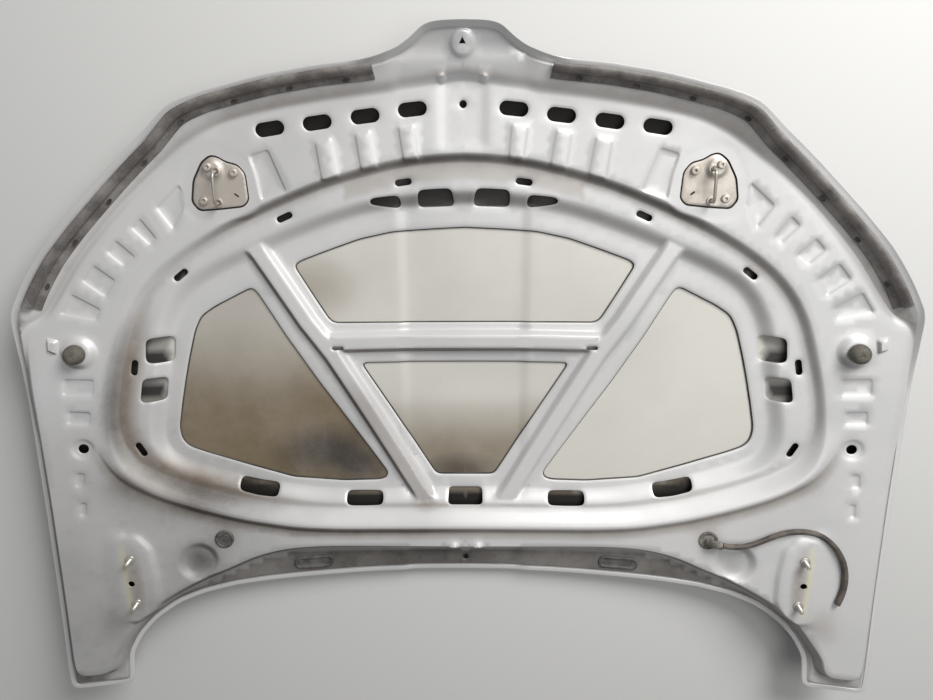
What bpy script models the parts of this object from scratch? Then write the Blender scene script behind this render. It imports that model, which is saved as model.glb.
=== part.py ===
# Car bonnet, lying on its outer skin with the underside up.
# Metres. +X runs across, +Y points to the nose, +Z up out of the underside.
# The floor touches the crown of the skin at z = 0. Left and right are as seen from above.
import math

import bpy
import numpy as np
from mathutils import Vector
from mathutils.geometry import delaunay_2d_cdt

for item in list(bpy.data.objects):
    bpy.data.objects.remove(item, do_unlink=True)

# Overall size, and the size that the lines below were drawn at. The lines stretch with the bonnet.
HALF_WIDTH = 0.752
LENGTH = 1.148
DRAWN_HALF_WIDTH = 0.752
DRAWN_LENGTH = 1.148
ACROSS = HALF_WIDTH / DRAWN_HALF_WIDTH
ALONG = LENGTH / DRAWN_LENGTH

# Sheets, the fold round the edge, and the gap between pieces that touch.
SKIN_SHEET = 0.0008
FRAME_SHEET = 0.0007
TOUCH = 0.0003
HOLE_GAP = 0.0008
HEM_GAP = 0.0009
LIP_WIDTH = 0.008
FOLD_BACK = 0.0012
FRAME_EDGE = 0.0020

# Form of the outer skin: rises towards the sides, the rear and the nose from its lowest point.
LOW_POINT_Y = 0.020
CROWN_ACROSS = 0.062
CROWN_POWER = 2.2
CROWN_HALF = 0.740
CROWN_REAR = 0.038
REAR_REACH = 0.590
CROWN_FRONT = 0.030
FRONT_REACH = 0.550
NOSE_ROLL = 0.028
ROLL_WIDTH = 0.130
ROLL_EASE = 0.9
ROLL_LINE_Y = 0.500
ROLL_LINE_BOW = 0.120
ROLL_LINE_SWEEP = 0.250
ROLL_STATIONS = 12
CURL_RISE = 0.012
CURL_WIDTH = 0.016
CURL_HALF = 0.115
CURL_FADE = 0.055
NOSE_CURL_Y = 0.50
SPINE_RISE = 0.003
SPINE_HALF = 0.095
SPINE_WALL = 0.022
SPINE_EDGES = (SPINE_HALF, SPINE_HALF + SPINE_WALL)
SPINE_CROSSING = 0.018
SPINE_FRONT_Y = 0.500
SPINE_REAR_Y = -0.345
SPINE_STATIONS = 9

# Levels of the inner frame. The first ones are above the skin, the rest above its plain crown.
FLANGE_MIDDLE = 0.0050
FLANGE_START = 0.0095
SHELF_WALL = 0.0045
SHELF_LEVEL = 0.009
SHELF_LEVEL_SIDE = 0.017
SHELF_TURN_X = 0.36
SHELF_TURN = 0.12
GUTTER_LEVEL = 0.006
GUTTER_Y = -0.2
GUTTER_BLEND = 0.2
NOSE_DIP = 0.0065
NOSE_DIP_Y = 0.515
NOSE_DIP_LENGTH = 0.030
WINDOW_LEVEL = 0.0044
BAND_LEVEL = 0.030
BAND_WALL = 0.014
RING_LEVEL = 0.020
RING_WALL = 0.017
INNER_WALL = 0.030
RIDGE_RISE = 0.008
RIDGE_CREST = 0.034
RIDGE_FOOT = 0.048
RIDGE_START_Y = -0.060
RIDGE_LINE_Y = -0.080
RIDGE_BLEND = 0.120
STRUT_LEVEL = 0.018
STRUT_CREST = 0.010
STRUT_WALL = 0.011
SIDE_FLANGE = 0.012
SIDE_FRONT_Y = 0.13
SIDE_REAR_Y = -0.50
SIDE_START_X = 0.70
LEG_FLANGE = 0.013
SEAT_SPAN = 0.030

# Small pressed features of the inner frame.
PAD_RISE = 0.0025
PAD_WALL = 0.005
DISH_RADIUS = 0.040
DISH_WALL = 0.018
DISH_DEPTH = 0.008
DIMPLE_RADIUS = 0.022
DIMPLE_WALL = 0.010
DIMPLE_DEPTH = 0.003
NOSE_BOSS_RADIUS = 0.022
NOSE_BOSS_WALL = 0.008
NOSE_BOSS_RISE = 0.006
NOSE_BOSS_SETBACK = 0.002
SPINE_PAD_HALF = 0.044
SPINE_PAD_WALL = 0.018
SPINE_PAD_FRONT_Y = 0.494
SPINE_PAD_REAR_Y = 0.400

# Holes.
SLOT_LENGTH = 0.046
SLOT_WIDTH = 0.022
RING_SLOT_LENGTH = 0.028
RING_SLOT_WIDTH = 0.011
STRUT_SLOT_LENGTH = 0.020
STRUT_SLOT_WIDTH = 0.007
CENTRE_HOLE_RADIUS = 0.006
SIDE_HOLE_RADIUS = 0.0085
REAR_HOLE_RADIUS = 0.005
NOSE_HOLE_RADIUS = 0.006
GROMMET_HOLE_RADIUS = 0.0130
LOCATING_HOLE_RADIUS = 0.006

# Hinge pads with their studs and the plate behind each.
HINGE_RISE = 0.006
HINGE_WALL = 0.012
HINGE_PLATE_INSET = 0.004
HINGE_PLATE = 0.0020
STUD_RADIUS = 0.0040
STUD_LENGTH = 0.024
STUD_CHAMFER = 0.001
COLLAR_RADIUS = 0.0085
COLLAR_HEIGHT = 0.0020
STUD_HEAD_RADIUS = 0.0075
STUD_HEAD = 0.0030

# Latch strikers, each on a plate in its own opening over a tray.
STRIKER_SEAT = 0.012
STRIKER_SEAT_WALL = 0.010
STRIKER_CLEARANCE = 0.0025
STRIKER_PLATE = 0.0020
STRIKER_SINK = 0.0025
TRAY_SHEET = 0.0015
TRAY_RIM = 0.008
TRAY_WALL = 0.004
DOME_RADIUS = 0.018
DOME_WALL = 0.007
DOME_RISE = 0.0035
BOW_RADIUS = 0.0026
BOW_HEIGHT = 0.026
BOW_CORNER = 0.008
BOLT_RADIUS = 0.0030
BOLT_HEAD_RADIUS = 0.0068
BOLT_HEAD = 0.0055
BOLT_CHAMFER = 0.0020
BOLT_SOCKET_RADIUS = 0.0026
BOLT_SOCKET_DEPTH = 0.0035
BOLT_TAIL = 0.0045

# Rubber buffers.
BUFFER_SEAT_RADIUS = 0.018
BUFFER_SEAT_WALL = 0.014
BUFFER_RISE = 0.008
BUFFER_RADIUS = 0.0165
BUFFER_HEIGHT = 0.024
BUFFER_FORM = ((0.9, 0), (1.0, 0.25), (0.98, 0.6), (0.82, 0.85), (0.45, 1.0), (0, 1.0))
BUFFER_STEM_RADIUS = 0.0050
BUFFER_STEM_HEAD = 0.0085
BUFFER_STEM_HEAD_HEIGHT = 0.0040

# Front seals and their clips.
SEAL_START_X = 0.133
SEAL_END_Y = 0.150
SEAL_TURN_X = 0.40
SEAL_TURN = 0.10
SEAL_INSET_FRONT = 0.0150
SEAL_INSET_SIDE = 0.0220
SEAL_BASE = 0.0160
SEAL_BASE_THICK = 0.0024
BULB_RADIUS = 0.0066
BULB_WALL = 0.0018
BULB_LIFT = 0.0006
BULB_SHIFT = 0.0004
BULB_ANGLES = (-10, 35, 80, 125, 170, 215, 255)
BULB_HOLLOW_SIDES = 6
SEAL_STEP = 0.0073
SEAL_TOE = 0.0022
CLIP_LENGTH = 0.014
CLIP_WIDTH = 0.007
CLIP_HEIGHT = 0.0018
CLIP_GAP = 0.0005
CLIP_COUNT = 8
CLIP_PLACE = 0.72

# Mastic beads under the window flanges, grommets, washer jets and hose.
BEAD_INSET = 0.002
BEAD_WIDTH = 0.004
BEAD_GAP = 0.0014
GROMMET_LIP_RADIUS = 0.0170
GROMMET_LIP = 0.0030
GROMMET_NECK = 0.0040
GROMMET_SHOULDER_RADIUS = 0.0145
GROMMET_DISH_RADIUS = 0.0080
GROMMET_DISH_DEPTH = 0.0020
HOSE_RADIUS = 0.0050
SPOUT_RADIUS = 0.0075
SPOUT_HEIGHT = 0.0160
SPOUT_LENGTH = 0.0190
SPOUT_ROUND = 0.0025
JET_LENGTH = 0.074
JET_WIDTH = 0.024
JET_HEIGHT = 0.0027
JET_NECK_INSET = 0.004
JET_TURN = -3

# Spacing of the plain stretches of each mesh.
FRAME_GRID = 0.100
SKIN_GRID = 0.110


def plan(points):
    return np.array([(x * ACROSS, y * ALONG) for x, y in points])


def closed(line):
    return np.vstack([line, line[:1]])


# Half of the bonnet's edge, from the middle of the nose round to the middle of the rear.
EDGE = plan([
    (0.000, 0.574), (0.026, 0.5735), (0.044, 0.572), (0.060, 0.567), (0.075, 0.554), (0.095, 0.541),
    (0.117, 0.532), (0.134, 0.528), (0.150, 0.525), (0.190, 0.521), (0.228, 0.517), (0.264, 0.511),
    (0.300, 0.505),
    (0.335, 0.497), (0.370, 0.488), (0.404, 0.479), (0.434, 0.469), (0.455, 0.459), (0.473, 0.444),
    (0.498, 0.421), (0.525, 0.398), (0.555, 0.371), (0.585, 0.342), (0.610, 0.317), (0.635, 0.291),
    (0.657, 0.266), (0.678, 0.241), (0.698, 0.212), (0.717, 0.181), (0.731, 0.154), (0.739, 0.137),
    (0.744, 0.115), (0.749, 0.070), (0.752, 0.010), (0.751, -0.070), (0.750, -0.140), (0.748, -0.210),
    (0.746, -0.290), (0.743, -0.370), (0.740, -0.450), (0.737, -0.520), (0.734, -0.562),
    (0.729, -0.5715), (0.719, -0.574), (0.676, -0.5735), (0.634, -0.573), (0.6255, -0.569),
    (0.623, -0.560), (0.622, -0.515), (0.614, -0.499), (0.605, -0.482), (0.591, -0.465),
    (0.576, -0.450), (0.555, -0.435), (0.534, -0.422), (0.510, -0.413), (0.487, -0.405),
    (0.430, -0.393), (0.372, -0.3865), (0.315, -0.382), (0.263, -0.379), (0.205, -0.3755),
    (0.147, -0.373), (0.075, -0.3715), (0.000, -0.371)])

# Corners of the rear leg in the line above.
LEG_OUTER = 40
LEG_INNER = 47

# Half of the foot of the box wall that follows the edge: front shelf, side, leg and rear gutter.
BAND_FRONT = plan([
    (0.000, 0.508), (0.038, 0.503), (0.060, 0.499), (0.111, 0.490), (0.175, 0.481), (0.236, 0.471),
    (0.313, 0.456), (0.372, 0.441), (0.413, 0.424), (0.448, 0.402), (0.482, 0.373), (0.520, 0.341),
    (0.561, 0.303), (0.598, 0.264), (0.634, 0.222), (0.668, 0.172), (0.698, 0.128)])
BAND_REAR = plan([
    (0.590, -0.444), (0.572, -0.430), (0.550, -0.414), (0.520, -0.396), (0.470, -0.372),
    (0.430, -0.358), (0.385, -0.338), (0.330, -0.325), (0.268, -0.322), (0.200, -0.323),
    (0.110, -0.325), (0.000, -0.326)])

# Half of the foot line of the ring, with its wall outside it.
RING = plan([
    (0.000, 0.372), (0.050, 0.370), (0.100, 0.364), (0.150, 0.353), (0.202, 0.339), (0.250, 0.324),
    (0.330, 0.291), (0.396, 0.260), (0.455, 0.226), (0.503, 0.190), (0.537, 0.151), (0.560, 0.109),
    (0.576, 0.060), (0.594, -0.005), (0.603, -0.065), (0.597, -0.102), (0.577, -0.136),
    (0.532, -0.165), (0.470, -0.190), (0.394, -0.214), (0.304, -0.232), (0.224, -0.237),
    (0.110, -0.238), (0.000, -0.238)])

# Half of the foot line of the field inside the ring, where the frame comes down to the skin.
FIELD = plan([
    (0.000, 0.302), (0.077, 0.298), (0.158, 0.288), (0.225, 0.268), (0.300, 0.240), (0.370, 0.208),
    (0.411, 0.190), (0.451, 0.166), (0.475, 0.140), (0.495, 0.100), (0.505, 0.055), (0.515, -0.010),
    (0.530, -0.073), (0.528, -0.112), (0.506, -0.138), (0.430, -0.166), (0.350, -0.186),
    (0.269, -0.202), (0.180, -0.206), (0.100, -0.205), (0.000, -0.204)])

# Windows in the frame, through which the skin shows. The first two cross the middle.
UPPER_WINDOW = plan([
    (0.000, 0.268), (0.060, 0.265), (0.122, 0.261), (0.178, 0.249), (0.230, 0.231), (0.282, 0.212),
    (0.291, 0.203), (0.264, 0.155), (0.237, 0.109), (0.227, 0.102), (0.115, 0.102), (0.000, 0.102)])
LOWER_WINDOW = plan([
    (0.000, 0.032), (0.090, 0.032), (0.178, 0.031), (0.183, 0.026), (0.118, -0.078),
    (0.056, -0.179), (0.048, -0.183), (0.000, -0.183)])
SIDE_WINDOW = plan([
    (0.366, 0.168), (0.430, 0.136), (0.455, 0.119), (0.468, 0.093), (0.482, 0.045), (0.492, 0.005),
    (0.502, -0.040), (0.510, -0.082), (0.507, -0.105), (0.495, -0.119), (0.467, -0.131),
    (0.390, -0.159), (0.315, -0.184), (0.222, -0.193), (0.158, -0.192), (0.145, -0.188),
    (0.141, -0.177), (0.200, -0.090), (0.260, -0.002), (0.310, 0.078), (0.356, 0.160)])

# Cut-outs in the slope between the ring and the field.
CUT_OUTS = [
    plan([(0.154, 0.316), (0.130, 0.319), (0.106, 0.321), (0.104, 0.299), (0.128, 0.301),
          (0.157, 0.306)]),
    plan([(0.076, 0.329), (0.048, 0.331), (0.020, 0.332), (0.015, 0.302), (0.046, 0.301),
          (0.077, 0.300)]),
    plan([(0.545, 0.082), (0.522, 0.086), (0.500, 0.085), (0.505, 0.041), (0.526, 0.039),
          (0.549, 0.040)]),
    plan([(0.558, 0.012), (0.537, 0.014), (0.518, 0.013), (0.525, -0.029), (0.545, -0.030),
          (0.566, -0.031)]),
    plan([(0.407, -0.177), (0.372, -0.186), (0.338, -0.193), (0.342, -0.217), (0.376, -0.212),
          (0.410, -0.201)]),
    plan([(0.218, -0.211), (0.184, -0.211), (0.151, -0.212), (0.151, -0.236), (0.184, -0.237),
          (0.218, -0.236)])]
REAR_CUT_OUT = plan([(0.000, -0.207), (0.031, -0.207), (0.032, -0.236), (0.000, -0.236)])

# Struts across the field: centre lines of the raised hat sections.
SLANT_STRUT = plan([(0.338, 0.214), (0.274, 0.106), (0.232, 0.046), (0.165, -0.068), (0.085, -0.206)])
CROSS_STRUT = plan([(0.000, 0.070), (0.120, 0.070), (0.232, 0.068)])

# Raised pads on the front band, and sunk pads along the slanting and side bands.
RAISED_PADS = [
    plan([(0.070, 0.374), (0.098, 0.371), (0.106, 0.430), (0.075, 0.433)]),
    plan([(0.137, 0.362), (0.167, 0.357), (0.175, 0.419), (0.146, 0.425)]),
    plan([(0.199, 0.349), (0.231, 0.341), (0.239, 0.407), (0.209, 0.414)])]
SUNK_PADS = [
    plan([(0.285, 0.326), (0.331, 0.312), (0.345, 0.386), (0.311, 0.396)]),
    plan([(0.457, 0.342), (0.443, 0.317), (0.474, 0.264), (0.500, 0.304)]),
    plan([(0.524, 0.290), (0.499, 0.253), (0.513, 0.239), (0.543, 0.272)]),
    plan([(0.566, 0.255), (0.536, 0.224), (0.559, 0.206), (0.586, 0.233)]),
    plan([(0.606, 0.215), (0.572, 0.186), (0.593, 0.155), (0.630, 0.186)]),
    plan([(0.647, 0.168), (0.602, 0.139), (0.611, 0.117), (0.671, 0.131)]),
    plan([(0.681, 0.022), (0.629, 0.019), (0.633, -0.014), (0.685, -0.010)]),
    plan([(0.681, -0.035), (0.641, -0.039), (0.644, -0.065), (0.684, -0.062)]),
    plan([(0.681, -0.148), (0.662, -0.149), (0.665, -0.178), (0.684, -0.177)]),
    plan([(0.680, -0.203), (0.665, -0.204), (0.667, -0.233), (0.682, -0.232)])]

# Places of the holes and fittings on the right half: across, along, and turn in degrees.
FRONT_SLOTS = [(0.080, 0.4536, -6), (0.155, 0.4436, -7), (0.231, 0.4341, -8), (0.306, 0.425, -9)]
RING_SLOTS = [(0.099, 0.3415, -8), (0.297, 0.286, -24), (0.475, 0.192, -38), (0.568, 0.033, -79),
              (0.572, -0.116, 62)]
CENTRE_HOLE, NOSE_HOLE, REAR_HOLE = plan([(0.0, 0.461), (0.0, 0.547), (0.0, -0.345)])
STRUT_SLOT = plan([(0.222, 0.059)])[0]
SIDE_HOLE = plan([(0.663, -0.107)])[0]
BUFFER = plan([(0.648, 0.066)])[0]
DISH = plan([(0.487, -0.331)])[0]
GROMMET = plan([(0.438, -0.288)])[0]
JET = plan([(0.284, -0.350)])[0]
STUDS = plan([(0.602, -0.316), (0.596, -0.400)])
LOCATING_HOLE = plan([(0.603, -0.362)])[0]
HINGE_PAD = plan([(0.622, -0.280), (0.592, -0.277), (0.573, -0.300), (0.565, -0.350),
                  (0.564, -0.395), (0.576, -0.419), (0.597, -0.434), (0.617, -0.428)])
STRIKER_OPENING = plan([
    (0.404, 0.386), (0.392, 0.384), (0.380, 0.376), (0.361, 0.371), (0.350, 0.356), (0.348, 0.314),
    (0.358, 0.303), (0.397, 0.299), (0.430, 0.297), (0.441, 0.312), (0.435, 0.346), (0.419, 0.375)])
STRIKER_BOLTS = plan([(0.408, 0.367), (0.369, 0.358), (0.420, 0.314)])
STRIKER_DOME = plan([(0.402, 0.362)])[0]
BOW_FEET = plan([(0.396, 0.360), (0.398, 0.310)])

# Route of the washer hose along its middle, from the spout of the right grommet to its bare end.
HOSE_ROUTE = [
    (0.4595, -0.2900, 0.0776), (0.4760, -0.2915, 0.0790), (0.4940, -0.2905, 0.0795),
    (0.5120, -0.2860, 0.0791), (0.5290, -0.2790, 0.0789), (0.5440, -0.2720, 0.0791),
    (0.5610, -0.2650, 0.0801), (0.5790, -0.2605, 0.0822), (0.5980, -0.2590, 0.0848),
    (0.6160, -0.2615, 0.0876), (0.6320, -0.2690, 0.0904), (0.6460, -0.2810, 0.0934),
    (0.6570, -0.2960, 0.0961), (0.6650, -0.3140, 0.0987), (0.6690, -0.3340, 0.1008),
    (0.6690, -0.3540, 0.1024), (0.6655, -0.3730, 0.1035), (0.6600, -0.3900, 0.1041)]
HOSE_SAMPLES = 26


def ramp(value):
    return np.clip(value, 0.0, 1.0)


def mix(start, end, share):
    return start + (end - start) * share


def distance_to(line, x, y):
    best = np.full(np.shape(x), np.inf)
    for (ax, ay), (bx, by) in zip(line[:-1], line[1:]):
        length = (bx - ax) ** 2 + (by - ay) ** 2
        share = ramp(((x - ax) * (bx - ax) + (y - ay) * (by - ay)) / max(length, 1e-12))
        gap = np.hypot(x - ax - share * (bx - ax), y - ay - share * (by - ay))
        best = np.minimum(best, gap)
    return best


def is_inside(line, x, y):
    count = np.zeros(np.shape(x), int)
    for (ax, ay), (bx, by) in zip(line, np.roll(line, -1, axis=0)):
        if ay == by:
            continue
        crosses = (ay > y) != (by > y)
        count += crosses & (x < ax + (y - ay) * (bx - ax) / (by - ay))
    return count % 2 == 1


def depth_in(line, x, y):
    # Distance inside a line, and less than zero outside it. A half line ends on x = 0 both times.
    gap = distance_to(line, x, y)
    return np.where(is_inside(line, x, y), gap, -gap)


def inset(line, distances):
    # The line moved inwards, with mitred corners. Ends on x = 0 stay there.
    ring = np.allclose(line[0], line[-1])
    distances = np.broadcast_to(distances, (len(line),))
    steps = np.diff(line, axis=0)
    steps /= np.linalg.norm(steps, axis=1)[:, None]
    area = np.sum(line[:-1, 0] * line[1:, 1] - line[1:, 0] * line[:-1, 1])
    if not ring:
        area += line[-1, 0] * line[0, 1] - line[0, 0] * line[-1, 1]
    turn = 1.0 if area > 0 else -1.0
    normals = np.column_stack([-steps[:, 1], steps[:, 0]]) * turn
    before = np.vstack([normals[-1:] if ring else normals[:1] * (-1, 1), normals])
    after = np.vstack([normals, normals[:1] if ring else normals[-1:] * (-1, 1)])
    middle = before + after
    middle /= np.sum(middle * before, axis=1)[:, None]
    return line + middle * distances[:, None]


def oval(centre, length, width, degrees, arc=4):
    points = []
    reach = (length - width) / 2
    for end in (0, 1):
        for step in range(arc + 1 if reach > 0 else arc):
            angle = math.pi * (step / arc - 0.5) + math.pi * end
            side = reach if end == 0 else -reach
            points.append((side + width / 2 * math.cos(angle), width / 2 * math.sin(angle)))
    turn = math.radians(degrees)
    points = np.array(points) @ np.array([(math.cos(turn), math.sin(turn)),
                                          (-math.sin(turn), math.cos(turn))])
    return closed(points + np.array(centre))


def circle(centre, radius, sides=8):
    return oval(centre, 2 * radius, 2 * radius, 0, sides // 2)


def crown(x, y):
    # The plain crown of the skin, without its rolled front edge.
    across = CROWN_ACROSS * (np.abs(x) / (CROWN_HALF * ACROSS)) ** CROWN_POWER
    behind = CROWN_REAR * ((LOW_POINT_Y - y) / (REAR_REACH * ALONG)) ** 2
    ahead = CROWN_FRONT * ((y - LOW_POINT_Y) / (FRONT_REACH * ALONG)) ** 2
    return across + np.where(y < LOW_POINT_Y, behind, ahead)


def roll_end(x):
    # Where the rolled front has its full slope.
    across = np.abs(x) / (CROWN_HALF * ACROSS)
    front = ROLL_LINE_Y - ROLL_LINE_BOW * across ** 2 - ROLL_LINE_SWEEP * across ** 5
    return front * ALONG


def roll_line(share):
    # A line along the rolled front, from its start (0) to its full slope (1).
    across = np.linspace(0, HALF_WIDTH, ROLL_STATIONS)
    line = np.column_stack([across, roll_end(across) + (share - 1) * ROLL_WIDTH * ALONG])
    return line[is_inside(inset(EDGE, FLANGE_START + SHELF_WALL), line[:, 0] + 1e-6, line[:, 1])]


def rim_lines():
    # Lines that the skin and the frame share, so that their facets agree under the hem.
    return [inset(EDGE, width) for width in (FLANGE_MIDDLE, FLANGE_START)]


def outer_skin(x, y):
    # Height of the outer face: the crown, the rolled front, the curled nose rim and the low spine.
    roll = np.maximum(0, (y - roll_end(x)) / (ROLL_WIDTH * ALONG) + 1)
    rolled = np.where(roll < 1, roll ** 2, 1 + 2 * ROLL_EASE * (roll - 1))
    rim = 1 - ramp(depth_in(EDGE, np.abs(x), y) / CURL_WIDTH)
    rim = rim ** 2 * ramp((CURL_HALF + CURL_FADE - np.abs(x)) / CURL_FADE) * (y > 0)
    spine = ramp((np.abs(x) - SPINE_HALF) / SPINE_WALL)
    return crown(x, y) + NOSE_ROLL * rolled + CURL_RISE * rim + SPINE_RISE * spine


def inner_skin(x, y):
    return outer_skin(x, y) + SKIN_SHEET


def seat_plane(centre, rise):
    # A flat seat that lies along the crown at its centre. Returns its height function.
    reach = SEAT_SPAN
    cx, cy = centre
    height = float(crown(cx, cy)) + SKIN_SHEET + BAND_LEVEL + rise
    slope_x = float(crown(cx + reach, cy) - crown(cx - reach, cy)) / (2 * reach)
    slope_y = float(crown(cx, cy + reach) - crown(cx, cy - reach)) / (2 * reach)

    def plane(x, y):
        return height + slope_x * (np.abs(x) - cx) + slope_y * (y - cy)

    normal = Vector((-slope_x, -slope_y, 1.0)).normalized()
    return plane, normal


def band_foot():
    side = [point for point in EDGE if SIDE_REAR_Y < point[1] / ALONG < SIDE_FRONT_Y
            and point[0] / ACROSS > SIDE_START_X]
    side = np.array(side) - (SIDE_FLANGE, 0)
    rear_y = EDGE[:, 1].min()
    leg_in, leg_out = EDGE[LEG_INNER], EDGE[LEG_OUTER]
    toe = np.array([
        (leg_out[0] - SIDE_FLANGE, leg_out[1]),
        (leg_out[0] - 2 * SIDE_FLANGE, rear_y + 2 * LEG_FLANGE),
        (leg_in[0] + 2 * LEG_FLANGE, rear_y + 2 * LEG_FLANGE),
        (leg_in[0] + LEG_FLANGE, rear_y + 4 * LEG_FLANGE),
        (leg_in[0] + LEG_FLANGE, EDGE[LEG_INNER + 1][1] + LEG_FLANGE / 2)])
    return np.vstack([BAND_FRONT, side, toe, BAND_REAR])


BAND = band_foot()
HINGE_CENTRE = STUDS.mean(axis=0)
HINGE_PLANE, HINGE_NORMAL = seat_plane(HINGE_CENTRE, HINGE_RISE)
STRIKER_CENTRE = STRIKER_OPENING.mean(axis=0)
STRIKER_PLANE, STRIKER_NORMAL = seat_plane(STRIKER_CENTRE, 0)
BUFFER_PLANE, BUFFER_NORMAL = seat_plane(BUFFER, BUFFER_RISE)
HINGE_SEAT = closed(HINGE_PAD)
STRIKER_HOLE = closed(STRIKER_OPENING)
STRIKER_SEAT_LINE = inset(STRIKER_HOLE, -STRIKER_SEAT)
BUFFER_SEAT = circle(BUFFER, BUFFER_SEAT_RADIUS)


def frame_under(x, y):
    # Height of the inner frame's underside, from the hem inwards.
    a = np.abs(x)
    skin = inner_skin(x, y)
    plain = crown(x, y) + SKIN_SHEET
    edge = depth_in(EDGE, a, y)
    side_share = ramp((a - SHELF_TURN_X) / SHELF_TURN)
    shelf = mix(SHELF_LEVEL, SHELF_LEVEL_SIDE, side_share)
    shelf = shelf - NOSE_DIP * ramp((y - NOSE_DIP_Y) / NOSE_DIP_LENGTH)
    shelf = mix(GUTTER_LEVEL, shelf, ramp((y - GUTTER_Y) / GUTTER_BLEND))
    z = mix(skin + HEM_GAP, skin + shelf, ramp((edge - FLANGE_START) / SHELF_WALL))
    band = plain + BAND_LEVEL
    z = mix(z, band, ramp(depth_in(BAND, a, y) / BAND_WALL))
    ring = depth_in(RING, a, y)
    rear = ramp((RIDGE_START_Y - y) / RIDGE_BLEND)
    wall = mix(RING_WALL, RIDGE_CREST, rear)
    z = z + RIDGE_RISE * rear * ramp((ring + RIDGE_FOOT) / (RIDGE_FOOT - RIDGE_CREST))
    z = mix(z, plain + RING_LEVEL, ramp((ring + wall) / wall))
    field = depth_in(FIELD, a, y)
    z = mix(z, skin + WINDOW_LEVEL, ramp((field + INNER_WALL) / INNER_WALL))
    for strut in (SLANT_STRUT, CROSS_STRUT):
        rise = ramp((STRUT_CREST + STRUT_WALL - distance_to(strut, a, y)) / STRUT_WALL)
        z = np.maximum(z, mix(z, plain + STRUT_LEVEL, rise))
    for pad in RAISED_PADS:
        z = z + PAD_RISE * ramp(depth_in(closed(pad), a, y) / PAD_WALL)
    for pad in SUNK_PADS:
        z = z - PAD_RISE * ramp(depth_in(closed(pad), a, y) / PAD_WALL)
    spine_pad = ramp((SPINE_PAD_HALF - a) / SPINE_PAD_WALL) * ramp(depth_in(BAND, a, y) / BAND_WALL)
    z = z - PAD_RISE * spine_pad * ramp((-ring - RING_WALL) / RING_WALL) * (y > 0)
    z = z - DISH_DEPTH * ramp((DISH_RADIUS - np.hypot(a - DISH[0], y - DISH[1])) / DISH_WALL)
    z = z - DIMPLE_DEPTH * ramp((DIMPLE_RADIUS - np.hypot(a - SIDE_HOLE[0], y - SIDE_HOLE[1]))
                                / DIMPLE_WALL)
    z = z + NOSE_BOSS_RISE * ramp((NOSE_BOSS_RADIUS - np.hypot(a, y - NOSE_HOLE[1] + NOSE_BOSS_SETBACK))
                                  / NOSE_BOSS_WALL)
    seats = ((HINGE_SEAT, HINGE_WALL, HINGE_PLANE), (BUFFER_SEAT, BUFFER_SEAT_WALL, BUFFER_PLANE),
             (STRIKER_SEAT_LINE, STRIKER_SEAT_WALL, STRIKER_PLANE))
    for line, wide, plane in seats:
        z = mix(z, plane(x, y), ramp((depth_in(line, a, y) + wide) / wide))
    return z


def frame_top(x, y):
    return frame_under(x, y) + FRAME_SHEET


def material(name, colour, roughness, metallic=0.0):
    made = bpy.data.materials.new(name)
    made.use_nodes = True
    shader = made.node_tree.nodes["Principled BSDF"]
    shader.inputs["Base Color"].default_value = (*colour, 1.0)
    shader.inputs["Roughness"].default_value = roughness
    shader.inputs["Metallic"].default_value = metallic
    return made


def add_mesh(name, points, faces, finish, side=1):
    # side -1 mirrors the piece to the left half.
    if side < 0:
        points = [(-x, y, z) for x, y, z in points]
        faces = [tuple(reversed(face)) for face in faces]
    mesh = bpy.data.meshes.new(name)
    mesh.from_pydata([tuple(map(float, point)) for point in points], [], faces)
    mesh.validate()
    mesh.materials.append(material(name, *finish))
    made = bpy.data.objects.new(name, mesh)
    bpy.context.scene.collection.objects.link(made)
    mesh.shade_smooth()
    mesh.set_sharp_from_angle(angle=math.radians(28))
    return made


def mirror_over_middle(made):
    mirror = made.modifiers.new("Mirror", "MIRROR")
    mirror.use_axis = (True, False, False)
    mirror.merge_threshold = 0.0001
    mirror.use_clip = True


def patches(triangles, walls):
    # Number of the patch that each triangle is in, where the walls part the patches.
    beside = {}
    for index, (a, b, c) in enumerate(triangles):
        for edge in ((a, b), (b, c), (c, a)):
            beside.setdefault(tuple(sorted(edge)), []).append(index)
    patch = np.full(len(triangles), -1)
    for seed in range(len(triangles)):
        if patch[seed] >= 0:
            continue
        patch[seed] = seed
        waiting = [seed]
        while waiting:
            a, b, c = triangles[waiting.pop()]
            for edge in ((a, b), (b, c), (c, a)):
                edge = tuple(sorted(edge))
                if edge in walls:
                    continue
                for other in beside[edge]:
                    if patch[other] < 0:
                        patch[other] = seed
                        waiting.append(other)
    return patch


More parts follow.
